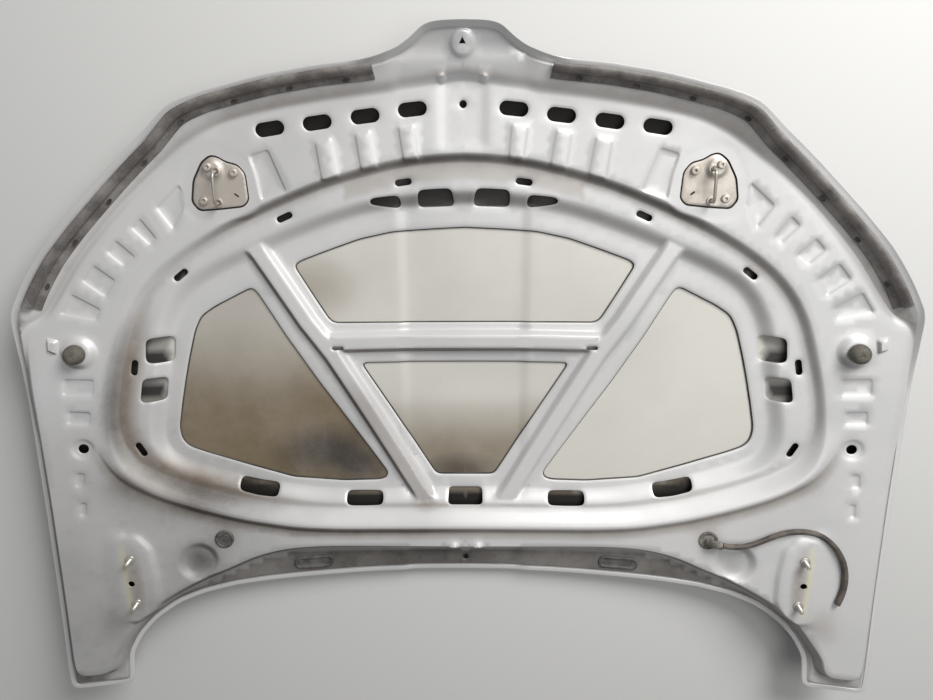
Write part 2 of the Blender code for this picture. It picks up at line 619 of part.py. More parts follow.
def triangulate(outline, holes, lines, grid, half):
    # Plan triangles inside the outline and outside the holes, with every line kept as edges.
    every = [outline] + holes + lines
    low = outline.min(axis=0)
    high = outline.max(axis=0)
    spots = []
    if grid:
        rows = int((high[1] - low[1]) / grid) + 1
        columns = int((high[0] - low[0]) / grid) + 1
        spots = [(low[0] + (column + 0.5 * (row % 2)) * grid, low[1] + row * grid)
                 for row in range(rows) for column in range(columns)]
        spots = np.array(spots)
        keep = is_inside(outline, spots[:, 0], spots[:, 1])
        for line in every:
            keep &= distance_to(line, spots[:, 0], spots[:, 1]) > 0.42 * grid
        if half:
            keep &= (spots[:, 0] > 0.42 * grid) | (spots[:, 0] < 1e-6)
        spots = spots[keep]
    points = [tuple(spot) for spot in spots]
    edges = []
    border = 0
    for number, line in enumerate(every):
        start = len(points)
        points += [tuple(point) for point in line]
        edges += [(start + i, start + i + 1) for i in range(len(line) - 1)]
        if number <= len(holes):
            border = len(edges)
    if half:
        edges.insert(0, (len(spots), len(spots) + len(outline) - 1))
        border += 1
    found = delaunay_2d_cdt([Vector(point) for point in points], edges, [], 0, 1e-6)
    flat = np.array([tuple(point) for point in found[0]])
    flat[np.abs(flat[:, 0]) < 1e-6, 0] = 0.0
    triangles = np.array([tuple(face) for face in found[2]])
    walls = {tuple(sorted(edge)) for edge, source in zip(found[1], found[4])
             if any(index < border for index in source)}
    corner = flat[triangles]
    area = ((corner[:, 1, 0] - corner[:, 0, 0]) * (corner[:, 2, 1] - corner[:, 0, 1])
            - (corner[:, 2, 0] - corner[:, 0, 0]) * (corner[:, 1, 1] - corner[:, 0, 1]))
    patch = patches(triangles, walls)
    keep = np.zeros(len(triangles), bool)
    for number in np.unique(patch):
        members = np.flatnonzero(patch == number)
        largest = members[np.argmax(np.abs(area[members]))]
        middle = corner[largest].mean(axis=0)
        inside = is_inside(outline, middle[0], middle[1])
        inside = inside and not any(is_inside(hole, middle[0], middle[1]) for hole in holes)
        keep[members] = inside and np.sum(area[members]) > 1e-8
    keep &= ~np.all(corner[:, :, 0] == 0, axis=1)
    triangles = triangles[keep]
    used, triangles = np.unique(triangles, return_inverse=True)
    first = len(spots)
    sources = [[index - first for index in found[3][vertex] if first <= index < first + len(outline)]
               for vertex in used]
    return flat[used], triangles.reshape(-1, 3), sources


def open_edges(triangles):
    seen = {}
    for a, b, c in triangles:
        for edge in ((a, b), (b, c), (c, a)):
            seen[edge] = True
    return [edge for edge in seen if (edge[1], edge[0]) not in seen]


def sheet(name, finish, outline, under, over, holes=(), lines=(), grid=0.0, half=False, side=1):
    # A closed piece between two heights over one plan shape.
    flat, triangles, _ = triangulate(outline, list(holes), list(lines), grid, half)
    count = len(flat)
    low = under(flat[:, 0], flat[:, 1])
    high = over(flat[:, 0], flat[:, 1])
    points = [(x, y, z) for (x, y), z in zip(flat, low)]
    points += [(x, y, z) for (x, y), z in zip(flat, high)]
    faces = [(int(c), int(b), int(a)) for a, b, c in triangles]
    faces += [(int(a) + count, int(b) + count, int(c) + count) for a, b, c in triangles]
    for a, b in open_edges(triangles):
        if half and flat[a][0] == 0 and flat[b][0] == 0:
            continue
        faces.append((int(a), int(b), int(b) + count, int(a) + count))
    made = add_mesh(name, points, faces, finish, side)
    if half:
        mirror_over_middle(made)
    return made


def full_loop(half_line):
    # A half line and its mirror image as one closed loop.
    left = half_line[::-1] * (-1, 1)
    return closed(np.vstack([half_line, left[1:-1]]))


def turned(name, finish, profile, centre, height, axis, sides=12, side=1):
    # A piece turned about an axis. The profile is (radius, height) from the bottom to the top.
    up = Vector(axis)
    across = Vector((0, 1, 0)).cross(up).normalized()
    along = up.cross(across)
    base = Vector((centre[0], centre[1], height))
    points = []
    rings = []
    for radius, rise in profile:
        ring = []
        count = 1 if radius == 0 else sides
        for step in range(count):
            angle = 2 * math.pi * step / sides
            spot = base + across * radius * math.cos(angle) + along * radius * math.sin(angle)
            ring.append(len(points))
            points.append(tuple(spot + up * rise))
        rings.append(ring)
    faces = []
    for lower, upper in zip(rings[:-1], rings[1:]):
        for step in range(sides):
            corners = [lower[step % len(lower)], lower[(step + 1) % sides % len(lower)],
                       upper[(step + 1) % sides % len(upper)], upper[step % len(upper)]]
            faces.append(tuple(dict.fromkeys(corners)))
    return add_mesh(name, points, faces, finish, side)


# Finishes: colour, roughness, metallic.
PAINT = ((0.60, 0.62, 0.64), 0.38, 0.35)
PRIMER = ((0.52, 0.49, 0.43), 0.45, 0.30)
BARE_STEEL = ((0.42, 0.41, 0.39), 0.45, 0.9)
ZINC = ((0.62, 0.60, 0.54), 0.35, 0.9)
SEAL_RUBBER = ((0.16, 0.14, 0.13), 0.75, 0.0)
RUBBER = ((0.10, 0.09, 0.08), 0.8, 0.0)
PLASTIC = ((0.05, 0.05, 0.05), 0.6, 0.0)
MASTIC = ((0.03, 0.03, 0.03), 0.8, 0.0)

# Outer skin, with its edge folded over the frame's flange all the way round.
HEM_STACK = 2 * SKIN_SHEET + 2 * HEM_GAP + FRAME_SHEET


def outer_skin_solid():
    fold = [EDGE, EDGE, inset(EDGE, LIP_WIDTH), inset(EDGE, LIP_WIDTH), inset(EDGE, FOLD_BACK),
            inset(EDGE, FOLD_BACK)]
    lift = [0.0, HEM_STACK, HEM_STACK, HEM_STACK - SKIN_SHEET, HEM_STACK - SKIN_SHEET, SKIN_SHEET]
    points = []
    faces = []
    count = len(EDGE)
    for line, rise in zip(fold, lift):
        line = np.where(np.abs(line) < 1e-9, 0.0, line)
        heights = outer_skin(line[:, 0], line[:, 1]) + rise
        points += [(x, y, z) for (x, y), z in zip(line, heights)]
    for ring in range(len(fold) - 1):
        for step in range(count - 1):
            a = ring * count + step
            faces.append((a, a + count, a + count + 1, a + 1))
    creases = []
    for x in SPINE_EDGES:
        along = np.linspace(SPINE_FRONT_Y, SPINE_REAR_Y, SPINE_STATIONS) * ALONG
        creases.append(np.array([(x, y) for y in along]))
    creases.append(np.array([(0.0, LOW_POINT_Y), (SPINE_HALF, LOW_POINT_Y)]))
    creases += rim_lines() + [roll_line(share) for share in (0.0, 0.4, 0.7, 1.0)]
    for width in (CURL_WIDTH, 2 * CURL_WIDTH):
        line = inset(EDGE, width)
        creases.append(line[(line[:, 1] > NOSE_CURL_Y * ALONG) & (line[:, 0] >= 0)])
    for ring, outward in ((0, True), (len(fold) - 1, False)):
        line = fold[ring]
        flat, triangles, sources = triangulate(line, [], creases, SKIN_GRID, True)
        index = []
        for (x, y), source in zip(flat, sources):
            if source:
                index.append(ring * count + source[0])
                continue
            index.append(len(points))
            height = outer_skin(np.array(x), np.array(y)) + lift[ring]
            points.append((x, y, float(height)))
        for triangle in triangles:
            corners = tuple(index[i] for i in triangle)
            faces.append(corners[::-1] if outward else corners)
    made = add_mesh("outer_skin", points, faces, PAINT)
    mirror_over_middle(made)


outer_skin_solid()

# Base lines of the front seals on the shelf, along the whole edge.
seal_insets = mix(SEAL_INSET_FRONT, SEAL_INSET_SIDE, ramp((EDGE[:, 0] - SEAL_TURN_X) / SEAL_TURN))
on_seal = (EDGE[:, 0] > SEAL_START_X) & (EDGE[:, 1] > SEAL_END_Y * ALONG)
SEAL_OUTER = inset(EDGE, seal_insets)[on_seal]
SEAL_INNER = inset(EDGE, seal_insets + SEAL_BASE)[on_seal]

# Inner frame, one pressing with its walls, windows, slots and holes.
frame_outline = inset(EDGE, FRAME_EDGE)
rear_half = RING[RING[:, 1] < RIDGE_LINE_Y * ALONG]
walls = rim_lines() + [
    inset(EDGE, FLANGE_START + SHELF_WALL), BAND, inset(BAND, BAND_WALL), inset(RING, -RING_WALL),
    RING, inset(FIELD, -INNER_WALL), FIELD, SEAL_OUTER, SEAL_INNER]
for reach in (RIDGE_CREST, RIDGE_FOOT):
    walls.append(inset(RING, -reach)[-len(rear_half):])
for strut in (SLANT_STRUT, CROSS_STRUT):
    for reach in (STRUT_CREST, STRUT_CREST + STRUT_WALL):
        step = np.diff(strut, axis=0)[0]
        step /= np.linalg.norm(step)
        shift = np.array((-step[1], step[0])) * reach
        walls += [strut + shift, strut - shift]
for pad in RAISED_PADS + SUNK_PADS:
    walls += [closed(pad), inset(closed(pad), PAD_WALL)]
walls += [circle(DISH, DISH_RADIUS, 12), circle(DISH, DISH_RADIUS - DISH_WALL, 12)]
walls += [circle(SIDE_HOLE, DIMPLE_RADIUS), circle(SIDE_HOLE, DIMPLE_RADIUS - DIMPLE_WALL)]
walls += [HINGE_SEAT, inset(HINGE_SEAT, -HINGE_WALL)]
walls += [STRIKER_SEAT_LINE, inset(STRIKER_SEAT_LINE, -STRIKER_SEAT_WALL)]
walls += [BUFFER_SEAT, inset(BUFFER_SEAT, -BUFFER_SEAT_WALL)]
for radius in (NOSE_BOSS_RADIUS, NOSE_BOSS_RADIUS - NOSE_BOSS_WALL):
    arc = np.linspace(math.pi / 2, -math.pi / 2, 7)
    along = NOSE_HOLE[1] - NOSE_BOSS_SETBACK + radius * np.sin(arc)
    walls.append(np.column_stack([radius * np.cos(arc), along]))
for x in SPINE_EDGES:
    for window in (UPPER_WINDOW, LOWER_WINDOW):
        for y in (window[:, 1].max(), window[:, 1].min()):
            walls.append(np.array([(x, y + SPINE_CROSSING), (x, y - SPINE_CROSSING)]))
for x in (SPINE_PAD_HALF, SPINE_PAD_HALF - SPINE_PAD_WALL):
    walls.append(np.array([(x, y) for y in np.linspace(SPINE_PAD_FRONT_Y, SPINE_PAD_REAR_Y, 3) * ALONG]))


def half_circle(centre, radius, sides=8):
    # Its ends are put exactly on the middle line. A hair beside it, the hole isn't cut.
    arc = np.linspace(math.pi / 2, -math.pi / 2, sides // 2 + 1)
    across = radius * np.cos(arc)
    across[[0, -1]] = 0.0
    return np.column_stack([across, centre[1] + radius * np.sin(arc)])


frame_holes = [UPPER_WINDOW, LOWER_WINDOW, closed(SIDE_WINDOW), REAR_CUT_OUT]
frame_holes += [closed(line) for line in CUT_OUTS]
frame_holes += [half_circle(CENTRE_HOLE, CENTRE_HOLE_RADIUS), half_circle(REAR_HOLE, REAR_HOLE_RADIUS)]
frame_holes += [half_circle(NOSE_HOLE, NOSE_HOLE_RADIUS, 6)]
frame_holes += [oval(plan([(x, y)])[0], SLOT_LENGTH, SLOT_WIDTH, turn) for x, y, turn in FRONT_SLOTS]
frame_holes += [oval(plan([(x, y)])[0], RING_SLOT_LENGTH, RING_SLOT_WIDTH, turn, 2)
                for x, y, turn in RING_SLOTS]
frame_holes += [oval(STRUT_SLOT, STRUT_SLOT_LENGTH, STRUT_SLOT_WIDTH, 0, 2)]
frame_holes += [circle(SIDE_HOLE, SIDE_HOLE_RADIUS), circle(GROMMET, GROMMET_HOLE_RADIUS, 12)]
frame_holes += [circle(LOCATING_HOLE, LOCATING_HOLE_RADIUS), STRIKER_HOLE]
frame_holes += [circle(stud, COLLAR_RADIUS + 2 * TOUCH, 12) for stud in STUDS]
frame_holes += [circle(BUFFER, BUFFER_STEM_RADIUS + HOLE_GAP)]
frame_holes += [oval(JET, JET_LENGTH - 2 * JET_NECK_INSET, JET_WIDTH - 2 * JET_NECK_INSET, JET_TURN)]
sheet("inner_frame", PAINT, frame_outline, frame_under, frame_top, frame_holes, walls, FRAME_GRID, True)

# Mastic beads that bond the window flanges to the skin.


def bead_bottom(x, y):
    return inner_skin(x, y) + BEAD_GAP


def bead_top(x, y):
    return inner_skin(x, y) + WINDOW_LEVEL - BEAD_GAP


def bead(name, window, lines=(), side=1):
    outside = inset(window, -BEAD_INSET - BEAD_WIDTH)
    sheet(name, MASTIC, outside, bead_bottom, bead_top, [inset(window, -BEAD_INSET)], lines, side=side)


spine_lines = [np.array([(x, FIELD[:, 1].max()), (x, FIELD[:, 1].min())]) for edge in SPINE_EDGES
               for x in (-edge, edge)]
bead("mastic_bead_upper", full_loop(UPPER_WINDOW), spine_lines)
bead("mastic_bead_lower", full_loop(LOWER_WINDOW), spine_lines)
for side, word in ((-1, "left"), (1, "right")):
    bead("mastic_bead_" + word, closed(SIDE_WINDOW), side=side)


def plane_at(plane, rise):
    return lambda x, y: plane(x, y) + rise


def hinge_group(side, word):
    # The plate welded behind the pad, and the two studs that carry the hinge.
    top = -TOUCH
    bottom = top - HINGE_PLATE
    holes = [circle(stud, STUD_RADIUS + HOLE_GAP, 12) for stud in STUDS]
    holes.append(circle(LOCATING_HOLE, LOCATING_HOLE_RADIUS))
    sheet("hinge_plate_" + word, PRIMER, inset(HINGE_SEAT, HINGE_PLATE_INSET),
          plane_at(HINGE_PLANE, bottom), plane_at(HINGE_PLANE, top), holes, side=side)
    for stud, place in zip(STUDS, ("front", "rear")):
        height = float(HINGE_PLANE(stud[0], stud[1]))
        head = bottom - TOUCH
        profile = [(0, head - STUD_HEAD), (STUD_HEAD_RADIUS, head - STUD_HEAD),
                   (STUD_HEAD_RADIUS, head), (STUD_RADIUS, head), (STUD_RADIUS, 0),
                   (COLLAR_RADIUS, 0), (COLLAR_RADIUS, COLLAR_HEIGHT), (STUD_RADIUS, COLLAR_HEIGHT),
                   (STUD_RADIUS, STUD_LENGTH - STUD_CHAMFER),
                   (STUD_RADIUS - STUD_CHAMFER, STUD_LENGTH), (0, STUD_LENGTH)]
        turned("hinge_stud_" + word + "_" + place, ZINC, profile, stud, height, HINGE_NORMAL,
               side=side)


def striker_group(side, word):
    # A tray under the frame, the domed plate in the opening, the bow and three bolts.
    plate_line = inset(STRIKER_HOLE, STRIKER_CLEARANCE)

    def tray_top(x, y):
        drop = ramp((depth_in(STRIKER_HOLE, np.abs(x), y) + TRAY_WALL) / TRAY_WALL)
        return STRIKER_PLANE(x, y) - TOUCH - STRIKER_SINK * drop

    def tray_bottom(x, y):
        return tray_top(x, y) - TRAY_SHEET

    def plate_bottom(x, y):
        dome = ramp((DOME_RADIUS - np.hypot(np.abs(x) - STRIKER_DOME[0], y - STRIKER_DOME[1])) / DOME_WALL)
        return STRIKER_PLANE(x, y) - STRIKER_SINK + DOME_RISE * dome

    def plate_top(x, y):
        return plate_bottom(x, y) + STRIKER_PLATE

    tray_holes = [circle(bolt, BOLT_RADIUS + 2 * HOLE_GAP) for bolt in STRIKER_BOLTS]
    plate_holes = [circle(bolt, BOLT_RADIUS + HOLE_GAP) for bolt in STRIKER_BOLTS]
    plate_holes += [circle(foot, BOW_RADIUS + HOLE_GAP) for foot in BOW_FEET]
    sheet("striker_tray_" + word, PRIMER, inset(STRIKER_HOLE, -TRAY_RIM), tray_bottom, tray_top,
          tray_holes, [STRIKER_HOLE, inset(STRIKER_HOLE, -TRAY_WALL)], side=side)
    domes = [circle(STRIKER_DOME, DOME_RADIUS, 12), circle(STRIKER_DOME, DOME_RADIUS - DOME_WALL, 12)]
    sheet("striker_plate_" + word, ZINC, plate_line, plate_bottom, plate_top, plate_holes, domes,
          side=side)
    for number, bolt in enumerate(STRIKER_BOLTS, 1):
        seat = max(float(plate_top(*spot)) for spot in circle(bolt, BOLT_HEAD_RADIUS))
        tail = float(STRIKER_PLANE(*bolt)) - STRIKER_SINK - TRAY_SHEET - BOLT_TAIL - seat
        profile = [(0, tail), (BOLT_RADIUS, tail), (BOLT_RADIUS, 0), (BOLT_HEAD_RADIUS, 0),
                   (BOLT_HEAD_RADIUS, BOLT_HEAD - BOLT_CHAMFER),
                   (BOLT_HEAD_RADIUS - BOLT_CHAMFER, BOLT_HEAD), (BOLT_SOCKET_RADIUS, BOLT_HEAD),
                   (BOLT_SOCKET_RADIUS, BOLT_HEAD - BOLT_SOCKET_DEPTH),
                   (0, BOLT_HEAD - BOLT_SOCKET_DEPTH)]
        turned("striker_bolt_" + word + "_" + str(number), ZINC, profile, bolt, seat + TOUCH,
               STRIKER_NORMAL, 8, side)
    bow(side, word, plate_bottom)


def tube(name, finish, route, radius, sides=8, side=1):
    # A round rod or hose along a route, with flat ends.
    points = []
    faces = []
    route = [Vector(point) for point in route]
    across = None
    for index, spot in enumerate(route):
        ahead = (route[min(index + 1, len(route) - 1)] - route[max(index - 1, 0)]).normalized()
        if across is None:
            across = ahead.orthogonal().normalized()
        across = (across - ahead * across.dot(ahead)).normalized()
        along = ahead.cross(across)
        for step in range(sides):
            angle = 2 * math.pi * step / sides
            points.append(tuple(spot + across * radius * math.cos(angle)
                                + along * radius * math.sin(angle)))
    for ring in range(len(route) - 1):
        for step in range(sides):
            a = ring * sides + step
            b = ring * sides + (step + 1) % sides
            faces.append((a, b, b + sides, a + sides))
    faces.append(tuple(reversed(range(sides))))
    faces.append(tuple(range(len(points) - sides, len(points))))
    return add_mesh(name, points, faces, finish, side)


def bow(side, word, plate_bottom):
    # The latch bow, a bent rod whose feet stand in the plate.
    front, rear = (Vector((x, y, float(plate_bottom(x, y)))) for x, y in BOW_FEET)
    up = STRIKER_NORMAL
    along = (rear - front).normalized()
    top_front = front + up * BOW_HEIGHT
    top_rear = rear + up * BOW_HEIGHT
    route = [front]
    for corner, start, turn in ((top_front, up, along), (top_rear, along, -up)):
        centre = corner - start * BOW_CORNER + turn * BOW_CORNER
        for angle in np.radians((0, 30, 60, 90)):
            route.append(centre + start * BOW_CORNER * math.sin(angle)
                         - turn * BOW_CORNER * math.cos(angle))
    route.append(rear)
    tube("striker_bow_" + word, BARE_STEEL, route, BOW_RADIUS, side=side)


def buffer_group(side, word):
    # A rubber dome on its seat, held by a threaded stem through the frame.
    height = float(BUFFER_PLANE(*BUFFER)) + FRAME_SHEET + TOUCH
    bore = BUFFER_STEM_RADIUS + TOUCH
    depth = BUFFER_HEIGHT / 2
    profile = [(bore, 0)]
    profile += [(BUFFER_RADIUS * wide, BUFFER_HEIGHT * high) for wide, high in BUFFER_FORM]
    inner = [(0, depth), (bore, depth)]
    turned("buffer_" + word, RUBBER, inner + profile, BUFFER, height, BUFFER_NORMAL, side=side)
    below = -FRAME_SHEET - 2 * TOUCH
    stem = [(0, below - BUFFER_STEM_HEAD_HEIGHT), (BUFFER_STEM_HEAD, below - BUFFER_STEM_HEAD_HEIGHT),
            (BUFFER_STEM_HEAD, below), (BUFFER_STEM_RADIUS, below), (BUFFER_STEM_RADIUS, depth - TOUCH),
            (0, depth - TOUCH)]
    turned("buffer_stem_" + word, PLASTIC, stem, BUFFER, height, BUFFER_NORMAL, 8, side=side)


def seal_group(side, word):
    # A rubber strip with a hollow bulb along its outer edge, and the clips that hold it down.
    outer, inner = SEAL_OUTER, SEAL_INNER
    thick = SEAL_BASE_THICK
    hub = (BULB_SHIFT, BULB_RADIUS + BULB_LIFT)
    section = [(SEAL_BASE, 0), (SEAL_BASE, thick), (SEAL_STEP, thick)]
    for degrees in BULB_ANGLES:
        angle = math.radians(degrees)
        section.append((hub[0] + BULB_RADIUS * math.cos(angle), hub[1] + BULB_RADIUS * math.sin(angle)))
    section.append((SEAL_TOE, 0))
    hollow = []
    for step in range(BULB_HOLLOW_SIDES):
        angle = -2 * math.pi * step / BULB_HOLLOW_SIDES
        reach = BULB_RADIUS - BULB_WALL
        hollow.append((hub[0] + reach * math.cos(angle), hub[1] + reach * math.sin(angle)))
    points = []
    faces = []
    for (ox, oy), (ix, iy) in zip(outer, inner):
        far_z = float(frame_top(np.array(ix), np.array(iy)))
        near_z = float(frame_top(np.array(ox), np.array(oy)))
        for loop in (section, hollow):
            for across, up in loop:
                share = across / SEAL_BASE
                z = mix(near_z, far_z, share) + TOUCH + up
                points.append((mix(ox, ix, share), mix(oy, iy, share), z))
    sizes = (len(section), len(hollow))
    count = sum(sizes)
    for station in range(len(outer) - 1):
        for start, size in ((0, sizes[0]), (sizes[0], sizes[1])):
            for step in range(size):
                a = station * count + start + step
                b = station * count + start + (step + 1) % size
                faces.append((a, b, b + count, a + count))
    for station, flip in ((0, True), (len(outer) - 1, False)):
        loops = section + hollow
        edges = [(i, (i + 1) % sizes[0]) for i in range(sizes[0])]
        edges += [(sizes[0] + i, sizes[0] + (i + 1) % sizes[1]) for i in range(sizes[1])]
        found = delaunay_2d_cdt([Vector(point) for point in loops], edges, [], 0, 1e-7)
        flat = [tuple(point) for point in found[0]]
        origin = [group[0] for group in found[3]]
        for face in found[2]:
            x = sum(flat[i][0] for i in face) / 3
            y = sum(flat[i][1] for i in face) / 3
            if not is_inside(np.array(section), x, y) or is_inside(np.array(hollow), x, y):
                continue
            corners = tuple(station * count + origin[i] for i in face)
            faces.append(corners[::-1] if flip else corners)
    faces = [tuple(reversed(face)) for face in faces]
    add_mesh("front_seal_" + word, points, faces, SEAL_RUBBER, side)


def clip_group(side, word):
    # Plastic clips, evenly spaced along the strip, each flat on the strip's base.
    steps = np.linalg.norm(np.diff(SEAL_INNER, axis=0), axis=1)
    lengths = np.concatenate([[0], np.cumsum(steps)])
    near_z = frame_top(SEAL_OUTER[:, 0], SEAL_OUTER[:, 1])
    far_z = frame_top(SEAL_INNER[:, 0], SEAL_INNER[:, 1])
    outer = np.column_stack([SEAL_OUTER, near_z])
    inner = np.column_stack([SEAL_INNER, far_z])
    half = CLIP_WIDTH / SEAL_BASE / 2
    for number in range(CLIP_COUNT):
        middle = lengths[-1] * (number + 0.5) / CLIP_COUNT
        corners = []
        for along, share in ((-1, CLIP_PLACE - half), (-1, CLIP_PLACE + half),
                             (1, CLIP_PLACE + half), (1, CLIP_PLACE - half)):
            reach = middle + along * CLIP_LENGTH / 2
            near = np.array([np.interp(reach, lengths, outer[:, k]) for k in range(3)])
            far = np.array([np.interp(reach, lengths, inner[:, k]) for k in range(3)])
            corners.append(mix(near, far, share) + (0, 0, TOUCH + SEAL_BASE_THICK + CLIP_GAP))
        corners += [corner + (0, 0, CLIP_HEIGHT) for corner in corners]
        faces = [(3, 2, 1, 0), (4, 5, 6, 7)]
        faces += [(i, (i + 1) % 4, (i + 1) % 4 + 4, i + 4) for i in range(4)]
        add_mesh("seal_clip_" + word + "_" + str(number + 1), corners, faces, PLASTIC, side)


def spout():
    # The elbow on the right plug, whose outlet takes the hose. It is joined to the plug.
    start = Vector((*GROMMET, float(frame_top(*GROMMET)) + SPOUT_HEIGHT))
    ahead = (Vector(HOSE_ROUTE[0]) - start).normalized()
    made = tube("spout_sleeve", RUBBER, [start, start + ahead * SPOUT_LENGTH], SPOUT_RADIUS, 10)
    made.hide_render = True
    made.display_type = "WIRE"
    return made


def grommet(side, word):
    # A rubber plug in its hole. The right one carries the spout of the washer hose.
    height = float(frame_top(*GROMMET)) + TOUCH
    neck = GROMMET_HOLE_RADIUS - TOUCH
    below = -FRAME_SHEET - 2 * TOUCH - GROMMET_NECK
    profile = [(0, below), (neck, below), (neck, 0), (GROMMET_LIP_RADIUS, 0),
               (GROMMET_LIP_RADIUS, GROMMET_LIP / 2), (GROMMET_SHOULDER_RADIUS, GROMMET_LIP)]
    if side > 0:
        profile += [(SPOUT_RADIUS, GROMMET_LIP), (SPOUT_RADIUS, SPOUT_HEIGHT),
                    (SPOUT_RADIUS - SPOUT_ROUND, SPOUT_HEIGHT + SPOUT_RADIUS),
                    (0, SPOUT_HEIGHT + SPOUT_RADIUS)]
    else:
        profile += [(GROMMET_DISH_RADIUS, GROMMET_LIP),
                    (GROMMET_DISH_RADIUS, GROMMET_LIP - GROMMET_DISH_DEPTH),
                    (0, GROMMET_LIP - GROMMET_DISH_DEPTH)]
    normal = seat_plane(GROMMET, 0)[1]
    plug = turned("grommet_" + word, RUBBER, profile, GROMMET, height, normal, side=side)
    if side > 0:
        join = plug.modifiers.new("Spout", "BOOLEAN")
        join.operation = "UNION"
        join.object = spout()


def washer_jet(side, word):
    # An oval washer jet set on the rear gutter.
    def base(x, y):
        return frame_top(x, y) + TOUCH

    def cap(x, y):
        return frame_top(x, y) + TOUCH + JET_HEIGHT

    sheet("washer_jet_" + word, PLASTIC, oval(JET, JET_LENGTH, JET_WIDTH, JET_TURN), base, cap,
          lines=[oval(JET, JET_LENGTH - 2 * JET_NECK_INSET, JET_WIDTH - 2 * JET_NECK_INSET, JET_TURN)],
          side=side)


def washer_hose():
    # The free hose, on a smooth curve through the points of its route.
    knots = np.array(HOSE_ROUTE)
    ends = np.vstack([2 * knots[0] - knots[1], knots, 2 * knots[-1] - knots[-2]])
    curve = bpy.data.curves.new("washer_hose", "CURVE")
    curve.dimensions = "3D"
    curve.bevel_depth = HOSE_RADIUS
    curve.bevel_resolution = 2
    curve.use_fill_caps = True
    line = curve.splines.new("POLY")
    line.points.add(HOSE_SAMPLES - 1)
    for index in range(HOSE_SAMPLES):
        place = index * (len(knots) - 1) / (HOSE_SAMPLES - 1)
        first = min(int(place), len(knots) - 2)
        share = place - first
        before, start, end, after = ends[first:first + 4]
        spot = 0.5 * (2 * start + (end - before) * share
                      + (2 * before - 5 * start + 4 * end - after) * share ** 2
                      + (3 * start - before - 3 * end + after) * share ** 3)
        line.points[index].co = (*spot, 1.0)
    curve.materials.append(material("washer_hose", *RUBBER))
    made = bpy.data.objects.new("washer_hose", curve)
    bpy.context.scene.collection.objects.link(made)


for side, word in ((-1, "left"), (1, "right")):
    hinge_group(side, word)
    striker_group(side, word)
    buffer_group(side, word)
    seal_group(side, word)
    clip_group(side, word)
    grommet(side, word)
    washer_jet(side, word)
washer_hose()
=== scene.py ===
# The bonnet of a large car, lying on its outer skin with its underside up.
# Metres: +X across, +Y to the nose, +Z up. Left and right are as seen from above.
import math

import bpy
import numpy as np
from mathutils import Matrix, Vector
from mathutils.geometry import delaunay_2d_cdt


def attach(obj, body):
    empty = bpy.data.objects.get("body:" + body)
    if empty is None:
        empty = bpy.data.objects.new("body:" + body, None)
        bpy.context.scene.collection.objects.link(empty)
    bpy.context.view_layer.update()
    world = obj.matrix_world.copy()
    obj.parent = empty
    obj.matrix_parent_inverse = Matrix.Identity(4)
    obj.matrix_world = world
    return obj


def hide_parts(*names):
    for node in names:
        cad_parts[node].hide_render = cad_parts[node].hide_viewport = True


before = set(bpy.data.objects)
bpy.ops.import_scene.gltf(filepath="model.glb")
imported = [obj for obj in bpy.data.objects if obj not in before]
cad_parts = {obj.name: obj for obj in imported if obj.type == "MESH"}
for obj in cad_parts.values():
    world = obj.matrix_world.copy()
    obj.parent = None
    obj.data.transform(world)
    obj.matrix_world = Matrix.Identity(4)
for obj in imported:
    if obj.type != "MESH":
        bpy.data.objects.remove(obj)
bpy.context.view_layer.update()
bpy.ops.object.select_all(action="DESELECT")
scene = bpy.context.scene

# Camera: held over the bonnet by someone who stands at its rear edge, and looks down at it.
camera_data = bpy.data.cameras.new("camera")
camera_data.sensor_width = 36.0
camera_data.lens = 27.16
camera = bpy.data.objects.new("camera", camera_data)
scene.collection.objects.link(camera)
camera.location = (0.0212, 0.3509, 1.2165)
camera.rotation_euler = [math.radians(angle) for angle in (-13.879, 0.798, -0.258)]
scene.camera = camera
scene.view_settings.view_transform = "Standard"

# Floor and light: a plain pale floor, a soft window of light beyond the nose on the right, and a
# weak one from the left, under an even grey sky.
FLOOR_COLOUR = (0.62, 0.62, 0.61)
LAMPS = (("key_lamp", (1.25, 1.90, 1.70), 1.5, 84.0, (1.0, 0.99, 0.97)),
         ("top_lamp", (0.8, 0.4, 2.7), 1.8, 20.0, (1.0, 0.995, 0.98)),
         ("side_lamp", (-2.4, -0.6, 1.6), 1.6, 2.5, (0.95, 0.97, 1.0)))
SKY_COLOUR = (0.86, 0.86, 0.87)
SKY_STRENGTH = 0.20

bpy.ops.mesh.primitive_plane_add(size=9.0, location=(0, 0, 0))
floor = bpy.context.object
floor.name = "floor"
floor_finish = bpy.data.materials.new("floor")
floor_finish.use_nodes = True
floor_shader = floor_finish.node_tree.nodes["Principled BSDF"]
floor_shader.inputs["Base Color"].default_value = (*FLOOR_COLOUR, 1.0)
floor_shader.inputs["Roughness"].default_value = 0.9
floor.data.materials.append(floor_finish)

for name, place, width, energy, colour in LAMPS:
    lamp_data = bpy.data.lights.new(name, "AREA")
    lamp_data.shape = "DISK"
    lamp_data.size = width
    lamp_data.energy = energy
    lamp_data.color = colour
    lamp = bpy.data.objects.new(name, lamp_data)
    scene.collection.objects.link(lamp)
    lamp.location = place
    lamp.rotation_euler = (Vector((0, 0, 0)) - Vector(place)).to_track_quat("-Z", "Y").to_euler()

world = bpy.data.worlds.new("sky")
scene.world = world
world.use_nodes = True
world.node_tree.nodes["Background"].inputs["Color"].default_value = (*SKY_COLOUR, 1.0)
world.node_tree.nodes["Background"].inputs["Strength"].default_value = SKY_STRENGTH

